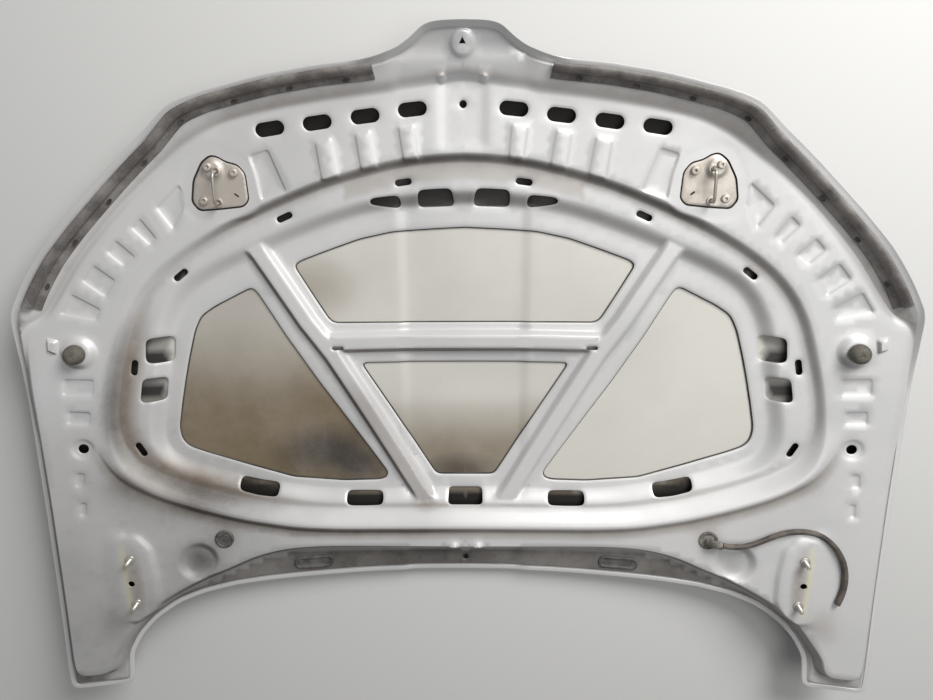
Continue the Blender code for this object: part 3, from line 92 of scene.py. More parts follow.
# Washer hose: a soft black tube, about 10 mm thick and 316 mm long, that comes out of the spout of
# the right grommet, rises a little, and lies down on the frame in a loose bow with its end bare.
HOSE_DIAMETER = 0.010
HOSE_ROUTE = [
    (0.4595, -0.2900, 0.0776), (0.4760, -0.2915, 0.0790), (0.4940, -0.2905, 0.0795),
    (0.5120, -0.2860, 0.0791), (0.5290, -0.2790, 0.0789), (0.5440, -0.2720, 0.0791),
    (0.5610, -0.2650, 0.0801), (0.5790, -0.2605, 0.0822), (0.5980, -0.2590, 0.0848),
    (0.6160, -0.2615, 0.0876), (0.6320, -0.2690, 0.0904), (0.6460, -0.2810, 0.0934),
    (0.6570, -0.2960, 0.0961), (0.6650, -0.3140, 0.0987), (0.6690, -0.3340, 0.1008),
    (0.6690, -0.3540, 0.1024), (0.6655, -0.3730, 0.1035), (0.6600, -0.3900, 0.1041)]
HOSE_SAMPLES = 60
GRAIN_SCALE = 420.0


def add_noise(tree, vector, scale, detail=4.0, roughness=0.55):
    noise = tree.nodes.new("ShaderNodeTexNoise")
    noise.inputs["Scale"].default_value = scale
    noise.inputs["Detail"].default_value = detail
    noise.inputs["Roughness"].default_value = roughness
    tree.links.new(vector, noise.inputs["Vector"])
    return noise.outputs["Fac"]


def add_range(tree, value, low, high):
    # Rises from 0 to 1 between two values, with an eased start and end.
    spread = tree.nodes.new("ShaderNodeMapRange")
    spread.interpolation_type = "SMOOTHSTEP"
    spread.inputs["From Min"].default_value = low
    spread.inputs["From Max"].default_value = high
    tree.links.new(value, spread.inputs["Value"])
    return spread.outputs["Result"]


def add_maths(tree, operation, first, second):
    node = tree.nodes.new("ShaderNodeMath")
    node.operation = operation
    node.use_clamp = True
    for slot, value in zip(node.inputs, (first, second)):
        if isinstance(value, (int, float)):
            slot.default_value = value
        else:
            tree.links.new(value, slot)
    return node.outputs[0]


def add_mix(tree, share, first, second):
    node = tree.nodes.new("ShaderNodeMix")
    node.data_type = "RGBA"
    for slot, value in zip((node.inputs["Factor"], node.inputs["A"], node.inputs["B"]),
                           (share, first, second)):
        if isinstance(value, (int, float)):
            slot.default_value = value
        elif isinstance(value, tuple):
            slot.default_value = (*value, 1.0)
        else:
            tree.links.new(value, slot)
    return node.outputs["Result"]


def build_dust_film():
    # A pale film of dust that lies thicker in patches, over any colour.
    film = bpy.data.node_groups.new("dust_film", "ShaderNodeTree")
    for way, sockets in (("INPUT", (("Place", "Vector"), ("Colour", "Color"), ("Dust Colour", "Color"),
                                    ("Amount", "Float"), ("Patch Scale", "Float"),
                                    ("Base Roughness", "Float"))),
                         ("OUTPUT", (("Colour", "Color"), ("Roughness", "Float"), ("Height", "Float")))):
        for label, kind in sockets:
            film.interface.new_socket(label, in_out=way, socket_type="NodeSocket" + kind)
    given = film.nodes.new("NodeGroupInput").outputs
    wanted = film.nodes.new("NodeGroupOutput").inputs
    cloud = add_noise(film, given["Place"], 9.0, 6.0, 0.62)
    film.links.new(given["Patch Scale"], cloud.node.inputs["Scale"])
    grain = add_noise(film, given["Place"], GRAIN_SCALE, 2.0)
    cover = add_maths(film, "ADD",
                      add_maths(film, "MULTIPLY", add_range(film, cloud, 0.36, 0.68), 0.75),
                      add_maths(film, "MULTIPLY", add_range(film, grain, 0.35, 0.75), 0.25))
    cover = add_maths(film, "MULTIPLY", cover, given["Amount"])
    film.links.new(add_mix(film, cover, given["Colour"], given["Dust Colour"]), wanted["Colour"])
    rough = add_maths(film, "ADD", given["Base Roughness"], add_maths(film, "MULTIPLY", cover, 0.45))
    film.links.new(rough, wanted["Roughness"])
    film.links.new(add_maths(film, "MULTIPLY", grain, 0.5), wanted["Height"])
    return film


DUST_FILM = build_dust_film()


def start_finish(name, roughness, metallic, dust, dust_colour, patch_scale, bump, bump_strength):
    # A material under the dust film, with the film's grain as bump. The caller links its colours.
    made = bpy.data.materials.new(name)
    made.use_nodes = True
    tree = made.node_tree
    shader = tree.nodes["Principled BSDF"]
    place = tree.nodes.new("ShaderNodeTexCoord").outputs["Object"]
    film = tree.nodes.new("ShaderNodeGroup")
    film.node_tree = DUST_FILM
    tree.links.new(place, film.inputs["Place"])
    film.inputs["Dust Colour"].default_value = (*dust_colour, 1.0)
    film.inputs["Amount"].default_value = dust
    film.inputs["Patch Scale"].default_value = patch_scale
    film.inputs["Base Roughness"].default_value = roughness
    tree.links.new(film.outputs["Roughness"], shader.inputs["Roughness"])
    shader.inputs["Metallic"].default_value = metallic
    relief = tree.nodes.new("ShaderNodeBump")
    relief.inputs["Distance"].default_value = bump
    relief.inputs["Strength"].default_value = bump_strength
    tree.links.new(film.outputs["Height"], relief.inputs["Height"])
    tree.links.new(relief.outputs["Normal"], shader.inputs["Normal"])
    return made, shader, place, film


def dusty_finish(name, colour, roughness, metallic=0.0, dust=0.3, dust_colour=(0.50, 0.46, 0.41),
                 patch_scale=9.0):
    # A plain colour under the dust film.
    made, shader, _, film = start_finish(name, roughness, metallic, dust, dust_colour, patch_scale,
                                         bump=0.0004, bump_strength=0.5)
    film.inputs["Colour"].default_value = (*colour, 1.0)
    made.node_tree.links.new(film.outputs["Colour"], shader.inputs["Base Color"])
    return made


knots = np.array(HOSE_ROUTE)
ends = np.vstack([2 * knots[0] - knots[1], knots, 2 * knots[-1] - knots[-2]])
hose_curve = bpy.data.curves.new("washer_hose_tube", "CURVE")
hose_curve.dimensions = "3D"
hose_curve.bevel_depth = HOSE_DIAMETER / 2
hose_curve.bevel_resolution = 4
hose_curve.use_fill_caps = True
hose_line = hose_curve.splines.new("POLY")
hose_line.points.add(HOSE_SAMPLES - 1)
for index in range(HOSE_SAMPLES):
    place = index * (len(knots) - 1) / (HOSE_SAMPLES - 1)
    first = min(int(place), len(knots) - 2)
    share = place - first
    before, start, end, after = ends[first:first + 4]
    spot = 0.5 * (2 * start + (end - before) * share
                  + (2 * before - 5 * start + 4 * end - after) * share ** 2
                  + (3 * start - before - 3 * end + after) * share ** 3)
    hose_line.points[index].co = (*spot, 1.0)
hose_curve.materials.append(dusty_finish("hose_rubber", (0.040, 0.034, 0.031), 0.5, dust=0.7,
                                         dust_colour=(0.24, 0.20, 0.17), patch_scale=34.0))
hose = bpy.data.objects.new("washer_hose_tube", hose_curve)
scene.collection.objects.link(hose)
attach(hose, "root")
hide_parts("washer_hose")

# Outer skin: one steel pressing, 0.8 mm thick, that the bonnet shows to the street. Its edge is
# folded over the flange of the inner frame all the way round. It lies on the floor on its crown.
SKIN_SHEET = 0.0008
FRAME_SHEET = 0.0007
HEM_GAP = 0.0009
LIP_WIDTH = 0.008
FOLD_BACK = 0.0012
LOW_POINT_Y = 0.020
CROWN_ACROSS = 0.062
CROWN_POWER = 2.2
CROWN_HALF = 0.740
CROWN_REAR = 0.038
REAR_REACH = 0.590
CROWN_FRONT = 0.030
FRONT_REACH = 0.550
NOSE_ROLL = 0.028
ROLL_WIDTH = 0.130
ROLL_EASE = 0.9
ROLL_LINE_Y = 0.500
ROLL_LINE_BOW = 0.120
ROLL_LINE_SWEEP = 0.250
CURL_RISE = 0.012
CURL_WIDTH = 0.016
CURL_HALF = 0.115
CURL_FADE = 0.055
SPINE_RISE = 0.003
SPINE_HALF = 0.095
SPINE_WALL = 0.022
LINE_STEP = 0.008
EDGE_ROUND = 0.012
SKIN_GRID = 0.012


def ramp(value):
    # Rises from 0 to 1 with an eased start and end, as a pressed wall does.
    value = np.clip(value, 0.0, 1.0)
    return value * value * (3 - 2 * value)


def mix(start, end, share):
    return start + (end - start) * share


def closed(line):
    return np.vstack([line, line[:1]])


def rounded(line, radius, step):
    # Rounds the corners of a line, then spaces its points evenly along it.
    ring = np.allclose(line[0], line[-1])
    corners = line[:-1] if ring else line
    bent = []
    for index, corner in enumerate(corners):
        if not ring and index in (0, len(corners) - 1):
            bent.append(corner)
            continue
        before = corners[index - 1] - corner
        after = corners[(index + 1) % len(corners)] - corner
        start = corner + before * min(0.45, radius / np.linalg.norm(before))
        end = corner + after * min(0.45, radius / np.linalg.norm(after))
        for share in (0.0, 0.25, 0.5, 0.75, 1.0):
            bent.append(mix(mix(start, corner, share), mix(corner, end, share), share))
    bent = closed(np.array(bent)) if ring else np.array(bent)
    reach = np.concatenate([[0], np.cumsum(np.linalg.norm(np.diff(bent, axis=0), axis=1))])
    count = max(8, int(round(reach[-1] / step)))
    spots = np.linspace(0, reach[-1], count + 1)
    line = np.column_stack([np.interp(spots, reach, bent[:, k]) for k in (0, 1)])
    line[-1] = line[0] if ring else line[-1]
    return line


def distance_to(line, x, y):
    best = np.full(np.shape(x), np.inf)
    for (ax, ay), (bx, by) in zip(line[:-1], line[1:]):
        length = (bx - ax) ** 2 + (by - ay) ** 2
        share = np.clip(((x - ax) * (bx - ax) + (y - ay) * (by - ay)) / max(length, 1e-12), 0, 1)
        gap = (x - ax - share * (bx - ax)) ** 2 + (y - ay - share * (by - ay)) ** 2
        best = np.minimum(best, gap)
    return np.sqrt(best)


def is_inside(line, x, y):
    count = np.zeros(np.shape(x), int)
    for (ax, ay), (bx, by) in zip(line, np.roll(line, -1, axis=0)):
        if ay == by:
            continue
        crosses = (ay > y) != (by > y)
        count += crosses & (x < ax + (y - ay) * (bx - ax) / (by - ay))
    return count % 2 == 1


def depth_in(line, x, y):
    # Distance inside a line, and less than zero outside it. A half line ends on x = 0 both times.
    gap = distance_to(line, x, y)
    return np.where(is_inside(line, x, y), gap, -gap)


def inset(line, distance):
    # The line moved inwards, with mitred corners. Ends on x = 0 stay there.
    ring = np.allclose(line[0], line[-1])
    steps = np.diff(line, axis=0)
    steps /= np.linalg.norm(steps, axis=1)[:, None]
    area = np.sum(line[:-1, 0] * line[1:, 1] - line[1:, 0] * line[:-1, 1])
    if not ring:
        area += line[-1, 0] * line[0, 1] - line[0, 0] * line[-1, 1]
    normals = np.column_stack([-steps[:, 1], steps[:, 0]]) * np.sign(area)
    before = np.vstack([normals[-1:] if ring else normals[:1] * (-1, 1), normals])
    after = np.vstack([normals, normals[:1] if ring else normals[-1:] * (-1, 1)])
    middle = before + after
    middle /= np.sum(middle * before, axis=1)[:, None]
    return line + middle * np.broadcast_to(distance, (len(line),))[:, None]


# Half of the bonnet's edge, from the middle of the nose round to the middle of the rear.
EDGE = np.array([
    (0.000, 0.574), (0.026, 0.5735), (0.044, 0.572), (0.060, 0.567), (0.075, 0.554), (0.095, 0.541),
    (0.117, 0.532), (0.134, 0.528), (0.150, 0.525), (0.190, 0.521), (0.228, 0.517), (0.264, 0.511),
    (0.300, 0.505), (0.335, 0.497), (0.370, 0.488), (0.404, 0.479), (0.434, 0.469), (0.455, 0.459),
    (0.473, 0.444), (0.498, 0.421), (0.525, 0.398), (0.555, 0.371), (0.585, 0.342), (0.610, 0.317),
    (0.635, 0.291), (0.657, 0.266), (0.678, 0.241), (0.698, 0.212), (0.717, 0.181), (0.731, 0.154),
    (0.739, 0.137), (0.744, 0.115), (0.749, 0.070), (0.752, 0.010), (0.751, -0.070), (0.750, -0.140),
    (0.748, -0.210), (0.746, -0.290), (0.743, -0.370), (0.740, -0.450), (0.737, -0.520),
    (0.734, -0.562), (0.729, -0.5715), (0.719, -0.574), (0.676, -0.5735), (0.634, -0.573),
    (0.6255, -0.569), (0.623, -0.560), (0.622, -0.515), (0.614, -0.499), (0.605, -0.482),
    (0.591, -0.465), (0.576, -0.450), (0.555, -0.435), (0.534, -0.422), (0.510, -0.413),
    (0.487, -0.405), (0.430, -0.393), (0.372, -0.3865), (0.315, -0.382), (0.263, -0.379),
    (0.205, -0.3755), (0.147, -0.373), (0.075, -0.3715), (0.000, -0.371)])
EDGE_CORNERS = EDGE
EDGE = rounded(EDGE_CORNERS, EDGE_ROUND, LINE_STEP)


def crown(x, y):
    # The plain crown of the skin, without its rolled front edge.
    across = CROWN_ACROSS * (np.abs(x) / CROWN_HALF) ** CROWN_POWER
    behind = CROWN_REAR * ((LOW_POINT_Y - y) / REAR_REACH) ** 2
    ahead = CROWN_FRONT * ((y - LOW_POINT_Y) / FRONT_REACH) ** 2
    return across + np.where(y < LOW_POINT_Y, behind, ahead)


def roll_start(x):
    across = np.abs(x) / CROWN_HALF
    return ROLL_LINE_Y - ROLL_LINE_BOW * across ** 2 - ROLL_LINE_SWEEP * across ** 5 - ROLL_WIDTH


def outer_skin(x, y):
    # Height of the outer face: the crown, the rolled front, the curled nose rim and the low spine.
    roll = np.maximum(0, (y - roll_start(x)) / ROLL_WIDTH)
    rolled = np.where(roll < 1, roll ** 2, 1 + 2 * ROLL_EASE * (roll - 1))
    rim = 1 - np.clip(depth_in(EDGE, np.abs(x), y) / CURL_WIDTH, 0, 1)
    rim = rim ** 2 * np.clip((CURL_HALF + CURL_FADE - np.abs(x)) / CURL_FADE, 0, 1) * (y > 0)
    spine = ramp((np.abs(x) - SPINE_HALF) / SPINE_WALL)
    return crown(x, y) + NOSE_ROLL * rolled + CURL_RISE * rim + SPINE_RISE * spine


def patches(triangles, walls):
    # Number of the patch that each triangle is in, where the walls part the patches.
    beside = {}
    for index, (a, b, c) in enumerate(triangles):
        for edge in ((a, b), (b, c), (c, a)):
            beside.setdefault((min(edge), max(edge)), []).append(index)
    patch = np.full(len(triangles), -1)
    for seed in range(len(triangles)):
        if patch[seed] >= 0:
            continue
        patch[seed] = seed
        waiting = [seed]
        while waiting:
            a, b, c = triangles[waiting.pop()]
            for edge in ((a, b), (b, c), (c, a)):
                edge = (min(edge), max(edge))
                if edge in walls:
                    continue
                for other in beside[edge]:
                    if patch[other] < 0:
                        patch[other] = seed
                        waiting.append(other)
    return patch


def triangulate(outline, holes, lines, grid):
    # Plan triangles inside the outline and outside the holes, with every line kept as edges.
    half = not np.allclose(outline[0], outline[-1])
    every = [outline] + holes + lines
    low = outline.min(axis=0)
    high = outline.max(axis=0)
    columns, rows = np.meshgrid(np.arange(int((high[0] - low[0]) / grid) + 1),
                                np.arange(int((high[1] - low[1]) / grid) + 1))
    x = low[0] + (columns + 0.5 * (rows % 2)).ravel() * grid
    y = low[1] + rows.ravel() * grid
    keep = is_inside(outline, x, y)
    if half:
        keep &= (x > 0.4 * grid) | (x < 1e-6)
    x = x[keep]
    y = y[keep]
    keep = np.ones(len(x), bool)
    for line in every:
        reach = 0.5 * grid
        lowest = line.min(axis=0) - reach
        highest = line.max(axis=0) + reach
        near = np.flatnonzero(keep & (x > lowest[0]) & (x < highest[0])
                              & (y > lowest[1]) & (y < highest[1]))
        keep[near] = distance_to(line, x[near], y[near]) > reach
    points = [(float(a), float(b)) for a, b in zip(x[keep], y[keep])]
    first = len(points)
    edges = [(first, first + len(outline) - 1)] if half else []
    border = 1
    for number, line in enumerate(every):
        start = len(points)
        points += [(float(a), float(b)) for a, b in line]
        edges += [(start + i, start + i + 1) for i in range(len(line) - 1)]
        if number <= len(holes):
            border = len(edges)
    found = delaunay_2d_cdt([Vector(point) for point in points], edges, [], 0, 1e-6)
    flat = np.array([tuple(point) for point in found[0]])
    flat[np.abs(flat[:, 0]) < 1e-5, 0] = 0.0
    triangles = [tuple(face) for face in found[2]]
    walls = {(min(edge), max(edge)) for edge, source in zip(found[1], found[4])
             if any(index < border for index in source)}
    patch = patches(triangles, walls)
    triangles = np.array(triangles)
    corner = flat[triangles]
    area = ((corner[:, 1, 0] - corner[:, 0, 0]) * (corner[:, 2, 1] - corner[:, 0, 1])
            - (corner[:, 2, 0] - corner[:, 0, 0]) * (corner[:, 1, 1] - corner[:, 0, 1]))
    keep = np.zeros(len(triangles), bool)
    for number in np.unique(patch):
        members = np.flatnonzero(patch == number)
        largest = members[np.argmax(np.abs(area[members]))]
        middle = corner[largest].mean(axis=0)
        inside = is_inside(outline, middle[0], middle[1])
        inside = inside and not any(is_inside(hole, middle[0], middle[1]) for hole in holes)
        keep[members] = inside and np.sum(area[members]) > 1e-8
    if half:
        keep &= ~np.all(corner[:, :, 0] == 0, axis=1)
    used, triangles = np.unique(triangles[keep], return_inverse=True)
    sources = [next((i - first for i in found[3][vertex] if first <= i < first + len(outline)), -1)
               for vertex in used]
    return flat[used], triangles.reshape(-1, 3), np.array(sources)


def border_edges(triangles):
    pairs = set()
    for a, b, c in triangles.tolist():
        pairs.update(((a, b), (b, c), (c, a)))
    return [edge for edge in pairs if (edge[1], edge[0]) not in pairs]


def stand_for(made, nodes):
    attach(made, "root")
    if nodes:
        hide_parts(*nodes)


def add_piece(name, points, faces, finish, slot, nodes, smooth=35):
    # Makes a mesh piece that stands for the named nodes.
    mesh = bpy.data.meshes.new(name)
    mesh.from_pydata(np.asarray(points, float).tolist(), [], [list(map(int, face)) for face in faces])
    mesh.validate()
    mesh.materials.append(finish)
    made = bpy.data.objects.new(name, mesh)
    scene.collection.objects.link(made)
    mesh.shade_smooth()
    mesh.set_sharp_from_angle(angle=math.radians(smooth))
    stand_for(made, nodes)
    return made


def mirror_over_middle(made):
    mirror = made.modifiers.new("Mirror", "MIRROR")
    mirror.use_axis = (True, False, False)
    mirror.merge_threshold = 0.00002
    mirror.use_clip = True
    bpy.context.view_layer.objects.active = made
    bpy.ops.object.modifier_apply(modifier=mirror.name)


def mark(made, name, values):
    # A number for each vertex, which the finish reads by its name.
    layer = made.data.attributes.new(name, "FLOAT", "POINT")
    layer.data.foreach_set("value", np.asarray(values, np.float32))


def places(made):
    found = np.zeros(len(made.data.vertices) * 3)
    made.data.vertices.foreach_get("co", found)
    found = found.reshape(-1, 3)
    return found[:, 0], found[:, 1], found[:, 2]


def lengthwise(x, front, rear, count):
    # A line from front to rear beside the middle.
    return np.column_stack([np.full(count, x), np.linspace(front, rear, count)])


def build_skin(finish):
    stack = 2 * SKIN_SHEET + 2 * HEM_GAP + FRAME_SHEET
    profile = []
    for degrees in range(-75, 91, 33):
        angle = math.radians(degrees)
        profile.append((stack / 2 * (1 - math.cos(angle)), stack / 2 * (1 + math.sin(angle))))
    profile = [(stack / 2, 0.0)] + profile
    profile += [(LIP_WIDTH - SKIN_SHEET / 2, stack), (LIP_WIDTH, stack - SKIN_SHEET / 2),
                (LIP_WIDTH - SKIN_SHEET / 2, stack - SKIN_SHEET), (FOLD_BACK, stack - SKIN_SHEET),
                (FOLD_BACK, SKIN_SHEET)]
    points = []
    faces = []
    count = len(EDGE)
    for width, lift in profile:
        line = inset(EDGE, width)
        line[[0, -1], 0] = 0.0
        points += list(zip(line[:, 0], line[:, 1], outer_skin(line[:, 0], line[:, 1]) + lift))
    for ring in range(len(profile) - 1):
        for step in range(count - 1):
            a = ring * count + step
            faces.append((a, a + count, a + count + 1, a + 1))
    creases = [lengthwise(x, 0.49, -0.35, 70) for x in np.linspace(SPINE_HALF, SPINE_HALF + SPINE_WALL, 5)]
    creases += [inset(EDGE, CURL_WIDTH * share) for share in (0.35, 0.6, 0.8, 1.0)]
    for ring, outward in ((0, True), (len(profile) - 1, False)):
        width, lift = profile[ring]
        line = inset(EDGE, width)
        line[[0, -1], 0] = 0.0
        flat, triangles, sources = triangulate(line, [], creases, SKIN_GRID)
        heights = outer_skin(flat[:, 0], flat[:, 1]) + lift
        index = np.where(sources >= 0, ring * count + sources, 0)
        fresh = np.flatnonzero(sources < 0)
        index[fresh] = len(points) + np.arange(len(fresh))
        points += [(flat[i, 0], flat[i, 1], heights[i]) for i in fresh]
        corners = index[triangles]
        faces += (corners[:, ::-1] if outward else corners).tolist()
    made = add_piece("outer_skin_panel", points, faces, finish, "body_paint", ["outer_skin"])
    mirror_over_middle(made)
    return made


def add_patch(tree, colour, mask_name, other, raggedness):
    # Mixes in another colour where the piece's own mask says so, with a ragged edge.
    mask = tree.nodes.new("ShaderNodeAttribute")
    mask.attribute_name = mask_name
    place = tree.nodes.new("ShaderNodeTexCoord").outputs["Object"]
    ragged = add_noise(tree, place, 38.0, 5.0, 0.6)
    share = add_maths(tree, "ADD", mask.outputs["Fac"],
                      add_maths(tree, "MULTIPLY", add_maths(tree, "SUBTRACT", ragged, 0.5), raggedness))
    share = add_maths(tree, "MULTIPLY", share, add_range(tree, mask.outputs["Fac"], 0.02, 0.3))
    return add_mix(tree, share, colour, other)


def panel_finish(name, colour, roughness, metallic, patches_of, raggedness, dust, dust_colour):
    # Paint or primer with patches of other colours by mask, under the dust film, and painted shade over the
    # film where the shade mask says so.
    made, shader, place, film = start_finish(name, roughness, metallic, dust, dust_colour,
                                             patch_scale=7.0, bump=0.0002, bump_strength=0.4)
    tree = made.node_tree
    cloud = add_noise(tree, place, 3.5, 3.0)
    darker = tuple(0.86 * value for value in colour)
    result = add_mix(tree, add_range(tree, cloud, 0.35, 0.65), darker, colour)
    for mask_name, other in patches_of:
        result = add_patch(tree, result, mask_name, other, raggedness)
    tree.links.new(result, film.inputs["Colour"])
    shaded = add_patch(tree, film.outputs["Colour"], "painted_shade", PAINTED_SHADE_COLOUR, 0.0)
    tree.links.new(shaded, shader.inputs["Base Color"])
    return made


PAINT_COLOUR = (0.68, 0.68, 0.685)
STRIP_COLOUR = (0.74, 0.71, 0.55)
PRIMER_COLOUR = (0.68, 0.665, 0.62)
DIRT_AND_SHADE_COLOUR = (0.20, 0.145, 0.10)
SOOT_AND_SHADE_COLOUR = (0.050, 0.042, 0.036)
STAIN_COLOUR = (0.165, 0.120, 0.065)
PAINTED_SHADE_COLOUR = (0.012, 0.010, 0.009)
paint = panel_finish("silver_paint", PAINT_COLOUR, 0.36, 0.25,
                     (("primer", STRIP_COLOUR), ("dirt_and_shade", DIRT_AND_SHADE_COLOUR), ("soot_and_shade", SOOT_AND_SHADE_COLOUR)),
                     0.35, 0.30, (0.50, 0.48, 0.45))
primer = panel_finish("inner_primer", PRIMER_COLOUR, 0.42, 0.15,
                      (("stain", STAIN_COLOUR), ("soot_and_shade", SOOT_AND_SHADE_COLOUR)), 0.15, 0.22,
                      (0.50, 0.46, 0.40))
skin = build_skin(paint)
skin.data.materials.append(primer)
x, y, z = places(skin)
inner_face = outer_skin(x, y) + SKIN_SHEET
for polygon in skin.data.polygons:
    corners = list(polygon.vertices)
    if max(abs(z[i] - inner_face[i]) for i in corners) < 0.0001:
        polygon.material_index = 1
RING = np.array([
    (0.000, 0.372), (0.050, 0.370), (0.100, 0.364), (0.150, 0.353), (0.202, 0.339), (0.250, 0.324),
    (0.330, 0.291), (0.396, 0.260), (0.455, 0.226), (0.503, 0.190), (0.537, 0.151), (0.560, 0.109),
    (0.576, 0.060), (0.594, -0.005), (0.603, -0.065), (0.597, -0.102), (0.577, -0.136),
    (0.532, -0.165), (0.470, -0.190), (0.394, -0.214), (0.304, -0.232), (0.224, -0.237),
    (0.110, -0.238), (0.000, -0.238)])
FIELD = np.array([
    (0.000, 0.302), (0.077, 0.298), (0.158, 0.288), (0.225, 0.268), (0.300, 0.240), (0.370, 0.208),
    (0.411, 0.190), (0.451, 0.166), (0.475, 0.140), (0.495, 0.100), (0.505, 0.055), (0.515, -0.010),
    (0.530, -0.073), (0.528, -0.112), (0.506, -0.138), (0.430, -0.166), (0.350, -0.186),
    (0.269, -0.202), (0.180, -0.206), (0.100, -0.205), (0.000, -0.204)])
UPPER_WINDOW = np.array([
    (0.000, 0.268), (0.060, 0.265), (0.122, 0.261), (0.178, 0.249), (0.230, 0.231), (0.282, 0.212),
    (0.291, 0.203), (0.264, 0.155), (0.237, 0.109), (0.227, 0.102), (0.115, 0.102), (0.000, 0.102)])
LOWER_WINDOW = np.array([
    (0.000, 0.032), (0.090, 0.032), (0.178, 0.031), (0.183, 0.026), (0.118, -0.078),
    (0.056, -0.179), (0.048, -0.183), (0.000, -0.183)])
SIDE_WINDOW = np.array([
    (0.366, 0.168), (0.430, 0.136), (0.455, 0.119), (0.468, 0.093), (0.482, 0.045), (0.492, 0.005),
    (0.502, -0.040), (0.510, -0.082), (0.507, -0.105), (0.495, -0.119), (0.467, -0.131),
    (0.390, -0.159), (0.315, -0.184), (0.222, -0.193), (0.158, -0.192), (0.145, -0.188),
    (0.141, -0.177), (0.200, -0.090), (0.260, -0.002), (0.310, 0.078), (0.356, 0.160)])


def spot(x, y, centre, reach):
    # A soft round or oval mark: 1 at its centre, and falling away over its reach.
    return np.exp(-((x - centre[0]) / reach[0]) ** 2 - ((y - centre[1]) / reach[1]) ** 2)


# Years of heat and dust have browned the skin in the windows, most in the left one, which is black beside
# its strut
#  with soot and painted shade. Where the frame covers it, the skin is painted near black as shade.
SIDE_REACH = 0.020
FRONT_CUT_OUTS_Y = 0.26
field_depth = depth_in(FIELD, np.abs(x), y)
in_side = depth_in(closed(SIDE_WINDOW), np.abs(x), y) > -SIDE_REACH
left_side = (x < 0) & in_side
upper = (y > 0.05) & ~in_side
stain = left_side * (0.34 + 0.62 * ramp((0.13 - y) / 0.20))
stain += 0.10 * (x > 0.10) * ramp((0.02 - y) / 0.15)
stain += ~in_side * (1 - upper) * (0.08 + 0.72 * ramp((-0.01 - y) / 0.13))
stain += upper * (0.10 + 0.45 * spot(x, y, (-0.270, 0.165), (0.075, 0.050)))
# Soot and painted shade: black beside the left strut and along the rear of the lower window.
soot_and_shade = 1.10 * left_side * spot(x - 0.35 * (y + 0.13), y, (-0.256, -0.134), (0.078, 0.042))
soot_and_shade += 0.90 * left_side * spot(x, y, (-0.190, -0.168), (0.045, 0.030))
soot_and_shade += 0.85 * ~in_side * spot(x, y, (-0.010, -0.174), (0.062, 0.026))
# Painted shade where the frame covers the skin: near black outside the ring, in the front cut-outs and in
# two bands of the side cut-outs, and paler farther out to the sides.
under = mix(0.45, 0.80, np.abs(x) < 0.42)
under = np.where(y > FRONT_CUT_OUTS_Y, 0.98, under)
under = np.where((y < 0.055) & (y > 0.035) | (y < -0.005) & (y > -0.022), 0.95, under)
in_ring = ramp((depth_in(RING, np.abs(x), y) - 0.016) / 0.008)
shade_start = np.where(y > FRONT_CUT_OUTS_Y, -0.004, 0.006)
painted_shade = mix(0.98, under * ramp((-field_depth - shade_start) / 0.008), in_ring)
mark(skin, "stain", np.clip(stain, 0, 0.95))
mark(skin, "soot_and_shade", np.clip(0.95 * soot_and_shade, 0, 0.97))
mark(skin, "painted_shade", painted_shade * (depth_in(EDGE, np.abs(x), y) > 0.012))

# Mastic beads: black elastic sealer pressed out between the skin and the window flanges of the
#  frame. They are drawn as a dark line under the edge of each window, which is partly mastic and partly
#  painted shadow.
BEAD_RADIUS = 0.0010
BEAD_INSET = 0.0010
BEAD_RISE = 0.0012
BEAD_STEP = 0.006
WINDOW_ROUND = 0.010
ROD_SHARP = 50
mastic = dusty_finish("mastic", (0.028, 0.026, 0.024), 0.7, dust=0.25)


def select_only(made):
    bpy.ops.object.select_all(action="DESELECT")
    made.select_set(True)
    bpy.context.view_layer.objects.active = made


def refinish(node, finish):
    # A solid that stays as it was loaded gets its own finish.
    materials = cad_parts[node].data.materials
    materials.clear()
    materials.append(finish)


def rod(name, route, radius, finish, nodes, loop=False):
    # A round rod along a route, made from a curve.
    curve = bpy.data.curves.new(name, "CURVE")
    curve.dimensions = "3D"
    curve.bevel_depth = radius
    curve.bevel_resolution = 4
    curve.use_fill_caps = not loop
    line = curve.splines.new("POLY")
    line.points.add(len(route) - 1)
    line.use_cyclic_u = loop
    for point, place in zip(line.points, route):
        point.co = (*place, 1.0)
    made = bpy.data.objects.new(name, curve)
    scene.collection.objects.link(made)
    select_only(made)
    bpy.ops.object.convert(target="MESH")
    made = bpy.context.object
    made.select_set(False)
    made.data.shade_smooth()
    made.data.set_sharp_from_angle(angle=math.radians(ROD_SHARP))
    made.data.materials.clear()
    made.data.materials.append(finish)
    stand_for(made, nodes)


bead_lines = {}
for name, line in (("upper", UPPER_WINDOW), ("lower", LOWER_WINDOW)):
    half = inset(rounded(line, WINDOW_ROUND, BEAD_STEP), BEAD_INSET)
    bead_lines[name] = np.vstack([half, (half * (-1, 1))[-2:0:-1]])
side_line = inset(rounded(closed(SIDE_WINDOW), WINDOW_ROUND, BEAD_STEP), BEAD_INSET)[:-1]
bead_lines["left"] = side_line * (-1, 1)
bead_lines["right"] = side_line
for name, line in bead_lines.items():
    refinish("mastic_bead_" + name, mastic)
    rise = outer_skin(line[:, 0], line[:, 1]) + SKIN_SHEET + BEAD_RISE
    rod("mastic_and_shadow_line_" + name, np.column_stack([line, rise]).tolist(), BEAD_RADIUS, mastic,
        [], True)

